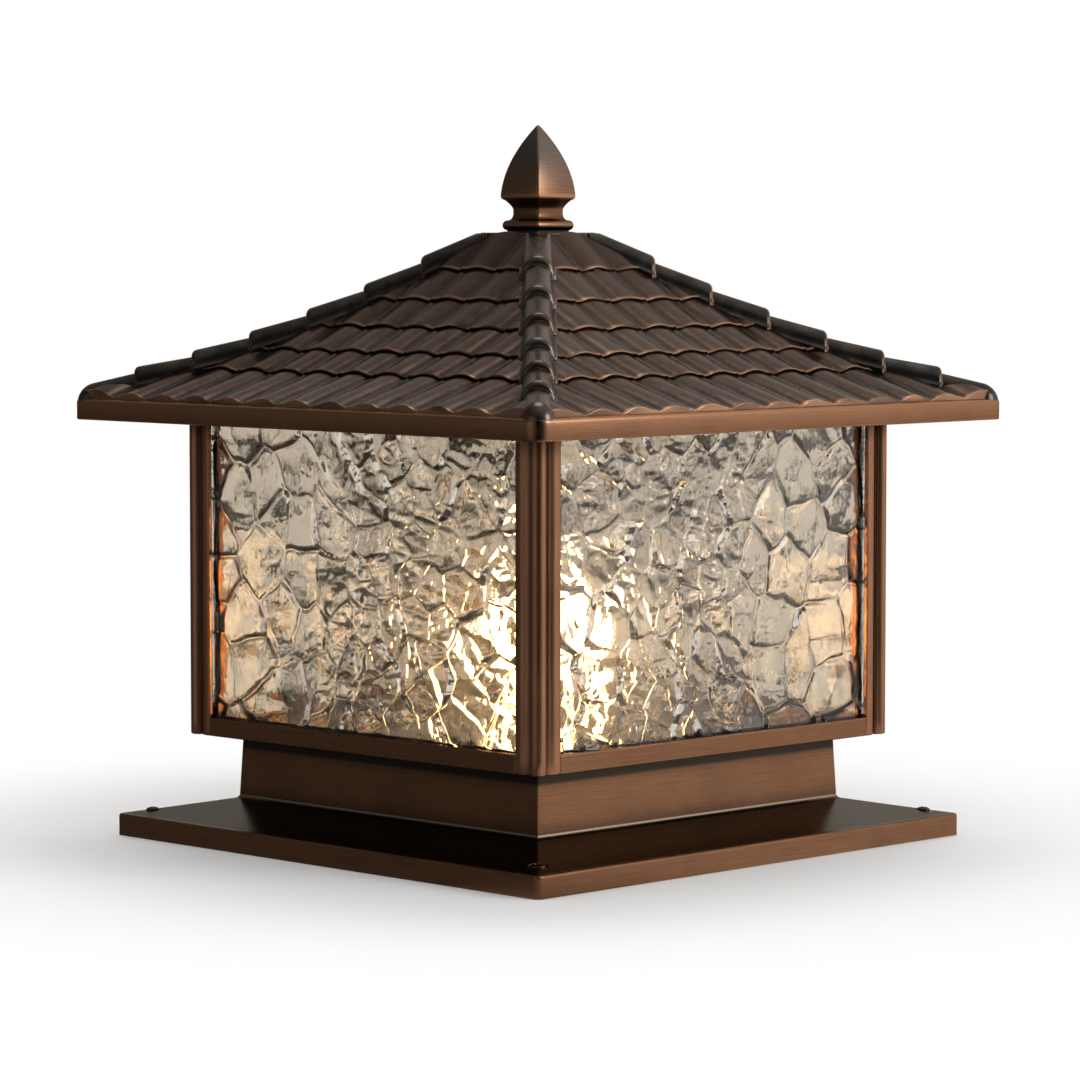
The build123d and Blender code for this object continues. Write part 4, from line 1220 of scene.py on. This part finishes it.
@dataclass
class Glazing:
    """The four panes of pebbled glass.

    Attributes:
        outer: distance of the outer face from the axis.
        inner: distance of the inner face from the axis.
        half: half width of a pane.
        low: lower edge of a pane.
        top: upper edge of a pane.
        sight_half: half width of the part that shows.
        sight_low: lower edge of the part that shows.
        sight_top: upper edge of the part that shows.
        cell: typical size of a pebble.
        relief: depth of the grooves between pebbles.
        pillow: depth by which a pebble falls off towards its border.
        crinkle: height of the creases inside a pebble.
        band: width over which the glass goes from smooth to creased.
        tilt: typical tilt of a pebble.
        groove_width: half width of the grooves.
        pillow_width: how far in from its border a pebble falls off.
        wide_fold: spacing of the wide creases.
        small_fold: spacing of the small creases.
        deepest: depth at which the relief stops.
        roll: depth of the inner face's folds.
        roll_fold: spacing of those folds.
        columns: points across the part that shows.
        rows: points up the part that shows.
        inner_columns: points across the inner face.
    """

    outer: float = 111.5
    inner: float = 106.5
    half: float = 104.8
    low: float = 52.0
    top: float = 199.5
    sight_half: float = 100.0
    sight_low: float = 55.6
    sight_top: float = 195.5
    cell: float = 28.0
    relief: float = 0.7
    pillow: float = 0.6
    crinkle: float = 1.6
    band: float = 45.0
    tilt: float = 0.05
    groove_width: float = 1.0
    pillow_width: float = 4.0
    wide_fold: float = 8.0
    small_fold: float = 4.0
    deepest: float = 3.4
    roll: float = 0.9
    roll_fold: float = 12.0
    columns: int = 300
    rows: int = 212
    inner_columns: int = 71

    def pebbles(self, x: np.ndarray, z: np.ndarray, seed: int, hand: float) -> np.ndarray:
        """Depth of the pebbled face.

        The nearest of a set of scattered seeds owns each place. Depth is a narrow groove by the
        border between two seeds, a pillow that falls off towards it, a tilt of the whole pebble,
        and creases, which are folds of slow noise. The places are shifted by slow noise first, so
        that borders wander, and squeezed in the creased part, so that pebbles are smaller there.

        Args:
            x: place along the pane, mm.
            z: height, mm.
            seed: which scatter.
            hand: 1 where the creased part lies towards +x, -1 where it lies towards -x.

        Returns:
            Depth in mm.
        """
        random = np.random.default_rng(seed)
        columns = np.arange(-190.0, 191.0, self.cell)
        rows = np.arange(-20.0, 275.0, self.cell * 0.86)
        grid_x, grid_z = np.meshgrid(columns, rows)
        grid_x = grid_x + np.where(np.arange(len(rows)) % 2, self.cell / 2.0, 0.0)[:, None]
        jitter = random.uniform(-0.42, 0.42, (2, *grid_x.shape)) * self.cell
        seeds = np.stack([(grid_x + jitter[0]).ravel(), (grid_z + jitter[1]).ravel()], axis=-1)
        tilt = random.normal(0.0, self.tilt, (len(seeds), 2))
        edge = hand * x + 5.0 * value_noise(x, z, 24.0, seed + 9)
        share = np.clip(edge / self.band + 0.9, 0.0, 1.0)
        creased = share * share * (3.0 - 2.0 * share) * np.clip(1.25 - edge / 180.0, 0.0, 1.0)
        warp_x = x + 36.0 * np.tanh((x - 18.0 * hand) / 48.0)
        warp_x = warp_x + 2.6 * value_noise(x, z, 17.0, seed + 1) + 1.0 * value_noise(x, z, 6.0, seed + 3)
        warp_z = 125.0 + (z - 125.0) * (1.0 + 0.5 * creased)
        warp_z = warp_z + 2.6 * value_noise(x, z, 17.0, seed + 2) + 1.0 * value_noise(x, z, 6.0, seed + 4)
        gap = (warp_x[..., None] - seeds[:, 0]) ** 2 + (warp_z[..., None] - seeds[:, 1]) ** 2
        order = np.argpartition(gap, 1, axis=-1)[..., :2]
        near = np.take_along_axis(gap, order, axis=-1)
        first = np.where(near[..., 0] <= near[..., 1], order[..., 0], order[..., 1])
        second = np.where(near[..., 0] <= near[..., 1], order[..., 1], order[..., 0])
        span = np.linalg.norm(seeds[first] - seeds[second], axis=-1)
        border = np.abs(near[..., 0] - near[..., 1]) / (2.0 * np.maximum(span, 1.0))
        lean = tilt[first, 0] * (warp_x - seeds[first, 0]) + tilt[first, 1] * (warp_z - seeds[first, 1])
        groove = self.relief * (1.0 + 0.6 * creased) * np.exp(-((border / self.groove_width) ** 2))
        pillow = self.pillow * np.exp(-border / self.pillow_width)
        wide_folds = np.abs(value_noise(x, 1.3 * z + 0.3 * x, self.wide_fold, seed + 5))
        small_folds = np.abs(value_noise(x, 1.3 * z - 0.3 * x, self.small_fold, seed + 6))
        ripple = self.crinkle * (0.10 + 0.90 * creased) * (wide_folds + 0.4 * small_folds)
        ripple = ripple + 0.22 * value_noise(x, z, 10.0, seed + 7)
        inside = 1.0 - np.exp(-((border / 1.5) ** 2))
        return groove + pillow + (lean * (1.0 + 1.6 * creased) + ripple) * inside

    def build(self, finish: Material) -> None:
        """Build the panes as closed slabs: pebbled outside, gently folded inside, plain in the slots.

        Args:
            finish: material of the glass.
        """
        reach = self.sight_half + 1.0
        wide = np.concatenate([[-self.half], np.linspace(-reach, reach, self.columns), [self.half]])
        rise = np.linspace(self.sight_low - 1.0, self.sight_top + 1.0, self.rows)
        tall = np.concatenate([[self.low], rise, [self.top]])
        back = np.linspace(self.half, -self.half, self.inner_columns)
        x, z = np.meshgrid(wide, tall)
        x_in, z_in = np.meshgrid(back, tall)
        for side in Side:
            seed = 700 + 20 * side.value
            hand = 1.0 if side in (Side.FRONT, Side.BACK) else -1.0
            depth = self.pebbles(x, z, seed, hand)
            depth = np.clip(depth - np.quantile(depth, 0.02), 0.0, self.deepest) * self.fade(x, z)
            folds = np.abs(value_noise(x_in, z_in, self.roll_fold, seed + 8))
            roll = (0.1 + self.roll * folds) * self.fade(x_in, z_in)
            outer = np.stack([x, -(self.outer - depth), z], axis=-1)
            inner = np.stack([x_in, -(self.inner + roll), z_in], axis=-1)
            surface = Surface()
            surface.add_grid(turned(np.concatenate([outer, inner], axis=1), side), capped=True)
            name = side.name.lower()
            node = f"glass_pane_{name}"
            surface.put_in(f"pebbled_pane_{name}", finish, "lantern", (node,), sharp=75.0)

    def fade(self, x: np.ndarray, z: np.ndarray) -> np.ndarray:
        """One on the part that shows and nought where the pane stands in its slots."""
        sideways = np.clip((self.sight_half + 0.8 - np.abs(x)) / 0.8, 0.0, 1.0)
        upwards = np.clip(np.minimum(z - self.sight_low + 0.8, self.sight_top + 0.8 - z) / 0.8, 0.0, 1.0)
        return sideways * upwards


@dataclass
class Bulb:
    """The bulb: opal globe and screw cap.

    Attributes:
        neck: radius of the neck.
        neck_z: lower end of the glass.
        globe: radius of the globe.
        globe_z: height of the globe's middle.
        cap: radius over the cap's thread.
        cap_low: lower end of the cap.
        thread: pitch of the thread.
        thread_depth: depth of the thread.
    """

    neck: float = 13.2
    neck_z: float = 42.5
    globe: float = 30.0
    globe_z: float = 90.5
    cap: float = 13.2
    cap_low: float = 19.5
    thread: float = 3.629
    thread_depth: float = 0.9

    def build(self, opal: Material, nickel: Material) -> None:
        """Revolve the glass and turn the cap's thread.

        The glass is the larger of the neck's and the globe's radius, eased where they meet. The
        cap's radius follows a cosine that climbs one pitch per turn.

        Args:
            opal: finish of the glass.
            nickel: finish of the cap.
        """
        crown = self.globe_z + self.globe
        turn = np.linspace(0.0, 1.0, 90)
        z = self.neck_z + (crown - self.neck_z) * np.sin(turn * np.pi / 2.0)
        ball = np.sqrt(np.maximum(self.globe**2 - (z - self.globe_z) ** 2, 0.0))
        gap = np.where(z < self.globe_z, self.neck - ball, -10.0)
        ease = np.clip(0.5 + gap / 8.0, 0.0, 1.0)
        radius = ball + (self.neck - ball) * ease + 4.0 * ease * (1.0 - ease)
        radius = np.where(z < self.neck_z + 6.0, self.neck, radius)
        radius[-1] = 0.02
        surface = Surface()
        surface.add_grid(revolved(radius, z, 72), capped=True)
        surface.put_in("bulb_glass", opal, "bulb", ("bulb_globe",))
        steps, rows = 60, 72
        angle = np.linspace(0.0, 2.0 * np.pi, steps, endpoint=False)[None, :]
        level = np.linspace(self.cap_low, self.neck_z, rows)[:, None]
        phase = 2.0 * np.pi * (level / self.thread) - angle
        ends = np.clip(np.minimum(level - self.cap_low, self.neck_z - level) / 2.5, 0.0, 1.0)
        swell = self.cap - self.thread_depth * (0.5 - 0.5 * np.cos(phase)) * ends - 0.25 * (1.0 - ends)
        level = np.broadcast_to(level, swell.shape)
        grid = np.stack([swell * np.cos(angle), swell * np.sin(angle), level], axis=-1)
        surface = Surface()
        surface.add_grid(grid, capped=True)
        surface.put_in("bulb_thread", nickel, "bulb", ("bulb_cap",))


@dataclass
class Fixings:
    """The pan-head screws that hold the base to its pillar.

    Attributes:
        spread: distance of each screw from the axis, along x and y.
        seat_z: flat spot on the flange that the head bears on.
        head: radius of a head.
        head_height: height of a head.
        shank: radius of a shank.
        foot_z: lower end of a shank.
        cross: half width of the cross recess.
        cross_reach: half length of the cross recess.
        cross_depth: depth of the cross recess.
    """

    spread: float = 126.0
    seat_z: float = 11.0
    head: float = 3.3
    head_height: float = 1.9
    shank: float = 2.4
    foot_z: float = 0.6
    cross: float = 0.5
    cross_reach: float = 1.9
    cross_depth: float = 1.1

    def build(self, finish: Material) -> None:
        """Build the screws: a domed head with a cross sunk in it, over a plain shank.

        The head is a grid of rings and angles; its height is an ellipse of the radius, less the
        recess where the place lies inside either arm of the cross.

        Args:
            finish: material of the screws.
        """
        share = np.concatenate([[0.002], np.linspace(0.04, 0.62, 24), np.linspace(0.66, 1.0, 10)])[:, None]
        angle = np.linspace(0.0, 2.0 * np.pi, 72, endpoint=False)[None, :]
        x = self.head * share * np.cos(angle)
        y = self.head * share * np.sin(angle)
        wide_x, wide_y = (np.clip((self.cross - np.abs(a)) / 0.25 + 0.5, 0.0, 1.0) for a in (x, y))
        long_x, long_y = (np.clip((self.cross_reach - np.abs(a)) / 0.5, 0.0, 1.0) for a in (x, y))
        cross = np.maximum(long_x * wide_y, long_y * wide_x)
        dome = self.head_height * (0.32 + 0.68 * np.sqrt(np.maximum(1.0 - share**2, 0.0)))
        top = np.stack([x, y, self.seat_z + dome - self.cross_depth * cross], axis=-1)
        radius = np.array([self.head, self.shank, self.shank, self.shank * 0.6])
        level = np.array([self.seat_z, self.seat_z, self.foot_z + 1.2, self.foot_z])
        grid = np.concatenate([top, revolved(radius, level, 72)], axis=0)
        surface = Surface()
        for sign_x in (-1.0, 1.0):
            for sign_y in (-1.0, 1.0):
                shift = np.array([sign_x * self.spread, sign_y * self.spread, 0.0])
                surface.add_grid(grid + shift, capped=True)
        surface.put_in("pillar_screws", finish, "lantern", sharp=40.0)


@dataclass
class Studio:
    """Pale floor, soft light and the camera of the photograph.

    Attributes:
        aim_z: height that the camera looks at, m.
        distance: from that point to the camera, m.
        pitch: how far the camera looks down, radians.
        lens: focal length on a 36 mm sensor, mm.
        shift: sideways shift of the frame.
        floor: radius of the floor, m.
        floor_drop: how far the floor lies under height nought, m.
        right: direction of the bright side of the studio, at the camera's right.
        front: direction from the lantern to the camera.
        window: direction of the soft window between the camera and the left side.
        lamp: side of a lamp, m.
        lamp_aim: height that the lamps face, m.
        key: place of the key lamp, m.
        key_power: power of the key lamp, W.
        top: place of the lamp overhead, m.
        top_power: power of the lamp overhead, W.
    """

    aim_z: float = 0.13667
    distance: float = 1.9772
    pitch: float = 0.0723
    lens: float = 143.0
    shift: float = 0.0018
    floor: float = 0.42
    floor_drop: float = 0.0002
    right: tuple[float, float, float] = (0.7071, 0.7071, 0.0)
    front: tuple[float, float, float] = (0.7071, -0.7071, 0.0)
    window: tuple[float, float, float] = (0.0, -1.0, 0.0)
    lamp: float = 1.0
    lamp_aim: float = 0.15
    key: tuple[float, float, float] = (2.0, 0.9, 1.0)
    key_power: float = 16.0
    top: tuple[float, float, float] = (-0.4, 0.5, 2.2)
    top_power: float = 8.0

    def place_camera(self) -> None:
        """Put the camera on the diagonal of the front and right sides."""
        level = self.distance * math.cos(self.pitch) / math.sqrt(2.0)
        place = Vector((level, -level, self.aim_z + self.distance * math.sin(self.pitch)))
        data = bpy.data.cameras.new("camera")
        data.lens = self.lens
        data.sensor_width = 36.0
        data.shift_x = self.shift
        camera = bpy.data.objects.new("camera", data)
        camera.location = place
        camera.rotation_euler = (Vector((0.0, 0.0, self.aim_z)) - place).to_track_quat("-Z", "Y").to_euler()
        bpy.context.scene.collection.objects.link(camera)
        bpy.context.scene.camera = camera

    def floor_finish(self) -> Material:
        """Matt white floor that takes the shadow and runs out into the white background.

        Metal sees it as it sees the walls: white at the right and dim at the left.

        Returns:
            The material, a diffuse shader mixed with plain white and with the graded white.
        """
        material, tree, shader, place = new_material("matt white floor")
        shader.inputs["Base Color"].default_value = linear("#f6f6f5")
        shader.inputs["Roughness"].default_value = 0.8
        path = add_node(tree, "LightPath", out=None)
        reach = add_node(tree, "VectorMath", {0: place}, operation="LENGTH", out=1)
        inner, outer = self.floor * 0.5, self.floor * 0.95
        fade = add_node(tree, "MapRange", {0: reach, 1: inner, 2: outer}, interpolation_type="SMOOTHSTEP")
        camera, glazed = path["Is Camera Ray"], path["Is Transmission Ray"]
        seen = add_node(tree, "Math", {0: camera, 1: glazed}, operation="MAXIMUM")
        out = add_node(tree, "Math", {0: fade, 1: seen}, operation="MULTIPLY")
        white = linear("#ffffff")
        plain = add_node(tree, "Emission", {"Color": white, "Strength": 1.0})
        side = add_node(tree, "VectorMath", {0: place, 1: self.right}, operation="DOT_PRODUCT", out="Value")
        level = add_node(tree, "MapRange", {0: side, 1: -0.05, 2: 0.10, 3: 0.12, 4: 0.9})
        graded = add_node(tree, "Emission", {"Color": white, "Strength": level})
        matt = add_node(tree, "MixShader", {0: out, 1: shader.outputs[0], 2: plain})
        both = add_node(tree, "MixShader", {0: path["Is Glossy Ray"], 1: matt, 2: graded})
        tree.links.new(both, tree.nodes["Material Output"].inputs["Surface"])
        return material

    def lay_floor(self) -> None:
        """Lay a pale round floor: a grid of radius and angle just under height nought."""
        radius = np.linspace(0.001, self.floor, 12)
        points = revolved(radius, np.zeros(12), 96) + np.array([0.0, 0.0, -self.floor_drop])
        grid = Surface()
        grid.add_grid(points)
        mesh = bpy.data.meshes.new("floor")
        mesh.from_pydata(points.reshape(-1, 3).tolist(), [], np.concatenate(grid.quads).tolist())
        mesh.materials.append(self.floor_finish())
        floor = bpy.data.objects.new("floor", mesh)
        bpy.context.scene.collection.objects.link(floor)

    def hang_light(self, name: str, place: tuple[float, float, float], power: float) -> None:
        """Hang a square soft light that faces the lantern.

        Args:
            name: name of the light.
            place: where it hangs, m.
            power: watts.
        """
        data = bpy.data.lights.new(name, "AREA")
        data.size = self.lamp
        data.energy = power
        light = bpy.data.objects.new(name, data)
        light.location = place
        way = Vector((0.0, 0.0, self.lamp_aim)) - Vector(place)
        light.rotation_euler = way.to_track_quat("-Z", "Y").to_euler()
        bpy.context.scene.collection.objects.link(light)

    def paint_world(self) -> None:
        """Paint the studio's walls: white to the camera and through glass, softly graded in metal.

        Metal sees the walls white at the right and behind the lantern, and dim at the left, at the
        camera and overhead, where the studio has black cloth. Through the glass the ceiling is dark.
        """
        world = bpy.data.worlds.new("studio")
        bpy.context.scene.world = world
        world.use_nodes = True
        tree = world.node_tree
        ground = tree.nodes["Background"]
        path = add_node(tree, "LightPath", out=None)
        way = add_node(tree, "TexCoord", out="Generated")
        height = add_node(tree, "SeparateXYZ", {0: way}, out="Z")
        right, front, left = (
            add_node(tree, "VectorMath", {0: way, 1: wall}, operation="DOT_PRODUCT", out="Value")
            for wall in (self.right, self.front, self.window)
        )
        lit = add_node(tree, "MapRange", {0: right, 1: -0.75, 2: 0.35, 3: 0.12, 4: 1.0})
        low = add_node(tree, "MapRange", {0: height, 1: 0.10, 2: 0.80, 3: 1.0, 4: 0.55})
        back = add_node(tree, "MapRange", {0: front, 1: 0.3, 2: 0.85, 3: 1.0, 4: 0.08})
        walls = add_node(tree, "Math", {0: lit, 1: low}, operation="MULTIPLY")
        walls = add_node(tree, "Math", {0: walls, 1: back}, operation="MULTIPLY")
        pane = add_node(tree, "MapRange", {0: left, 1: 0.8, 2: 0.94, 4: 0.3})
        walls = add_node(tree, "Math", {0: walls, 1: pane}, operation="ADD")
        glazed = add_node(tree, "MapRange", {0: height, 1: -0.03, 2: 0.04, 3: 1.0, 4: 0.02})
        soft = add_node(tree, "Mix", {0: path["Is Glossy Ray"], 2: 0.85, 3: walls})
        through = add_node(tree, "Mix", {0: path["Is Transmission Ray"], 2: soft, 3: glazed})
        strength = add_node(tree, "Mix", {0: path["Is Camera Ray"], 2: through, 3: 1.0})
        tree.links.new(strength, ground.inputs["Strength"])
        ground.inputs["Color"].default_value = linear("#ffffff")

    def build(self) -> None:
        """Set up the whole studio."""
        bpy.context.scene.view_settings.view_transform = "Standard"
        self.place_camera()
        self.lay_floor()
        self.hang_light("key", self.key, self.key_power)
        self.hang_light("top", self.top, self.top_power)
        self.paint_world()


@dataclass
class Frame:
    """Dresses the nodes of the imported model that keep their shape."""

    def build(self, finishes: dict[str, Material]) -> None:
        """Give each node the finish whose key its name starts with; the longest key wins.

        Args:
            finishes: finish by start of node name.
        """
        for name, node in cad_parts.items():
            keys = [key for key in finishes if name.startswith(key)]
            if not keys:
                LOG.warning("%s has no finish", name)
                continue
            node.data.materials.clear()
            node.data.materials.append(finishes[max(keys, key=len)])
            LOG.info("%s: dressed", name)


def main() -> None:
    """Build every piece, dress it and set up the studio."""
    logging.basicConfig(level=logging.INFO, format="%(name)s: %(message)s")
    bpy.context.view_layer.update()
    bronze = Bronze("brown bronze, rubbed round the sides").build()
    # The base gets a painted shadow from 39.8 to 41.2 mm up, under the frame.
    plinth = PlinthBronze(
        "brown bronze of the base", patina_and_shade="#1c160e", grazing="#c9c4b8", top_tarnish_and_shade=0.86, shade_low=39.8,
        shade_top=41.2,
    ).build()
    # The posts' ground is lighter than the rails' bronze as painted light, and they darken from 182 to 193
    # mm up as painted shadow under the roof.
    posts = Bronze(
        "brown bronze, rubbed upright", brushing=Brushing.UPRIGHT, corner=2.0, ground="#98694c",
        shade_low=182.0, shade_top=193.0,
    ).build()
    tiles = TileBronze(
        "grey-brown bronze tiles", brushing=Brushing.AS_CAST, streak=4.0, ground="#4a3427", cloud=14.0,
        edge=0.6, edge_wear_and_highlight=0.35, top_tarnish_and_shade=0.0, roughness=0.24, relief=0.008, lacquer=0.25, grazing="#d8cdc5",
    )
    tiled = tiles.build()
    ridged = replace(tiles, name="grey bronze ridges", grey="#605a53").build()
    pointed = TileBronze("brown bronze, grey at the top", grey="#7b7168").build()
    steel = PlainFinish("zinc-plated steel", "#b9bcc0", "#9da1a6", 0.8, 1.0, 0.32).build()
    bright_steel = PlainFinish("bright zinc-plated steel", "#dcdcdc", "#cfd1d3", 0.8, 1.0, 0.18).build()
    bronzed_steel = PlainFinish("bronzed steel", "#54402f", "#2a1f18", 0.8, 1.0, 0.22).build()
    black_steel = PlainFinish("black-oxide steel", "#2a2624", "#171514", 0.6, 1.0, 0.38).build()
    brass = PlainFinish("contact brass", "#c9a24e", "#b38a3c", 0.8, 1.0, 0.3).build()
    nickel = PlainFinish("nickel-plated brass", "#c8c4ba", "#b2ada2", 0.8, 1.0, 0.25).build()
    glass = PebbledGlass("pebbled soda-lime glass").build()
    opal = OpalGlass("lit opal glass").build()
    porcelain = PlainFinish("glazed porcelain", "#efece4", "#e4e0d6", 3.0, 0.0, 0.18, 0.004).build()
    rubber = PlainFinish("black rubber", "#1c1c1c", "#141414", 0.5, 0.0, 0.65).build()
    insulator = PlainFinish("black glass insulator", "#17161a", "#0f0f12", 1.0, 0.0, 0.2, 0.004).build()
    block = PlainFinish("white polyamide", "#dedcd4", "#d2d0c7", 0.7, 0.0, 0.45).build()
    finishes = {
        "base_casting": plinth, "corner_post": posts, "bottom_rail": bronze, "top_rail": bronze,
        "roof_casting": pointed, "finial": pointed, "finial_washer": rubber, "glass_pane": glass,
        "pane_seals": rubber, "floor_plate": bright_steel, "cross_bar": steel, "holder_bracket": steel,
        "roof_stud": steel, "stud_nuts": steel,
        "lower_frame_screws": black_steel, "upper_frame_screws": black_steel, "floor_screws": steel,
        "bracket_screws": steel, "rail_screws": steel, "cross_bar_screws": steel, "holder_screws": steel,
        "terminal_screws": brass, "earth_screw": brass, "lamp_holder": porcelain, "holder_shell": brass,
        "holder_contact": brass, "bulb_tip": brass, "bulb_insulator": insulator, "bulb_cap": nickel,
        "bulb_globe": opal, "terminal_block": block,
        "lead_live": PlainFinish("brown insulation", "#5c3a24", "#4d2f1c", 0.6, 0.0, 0.4).build(),
        "lead_neutral": PlainFinish("blue insulation", "#2f5f9e", "#27528a", 0.6, 0.0, 0.4).build(),
        "earth_lead": PlainFinish("green insulation", "#3f8a3c", "#b9b53a", 5.0, 0.0, 0.4).build(),
    }
    Frame().build(finishes)
    Roof().build(pointed, tiled, ridged)
    Finial().build(pointed)
    Posts().build(posts)
    Glazing().build(glass)
    Bulb().build(opal, nickel)
    Fixings().build(bronzed_steel)
    Studio().build()


if __name__ == "__main__":
    main()
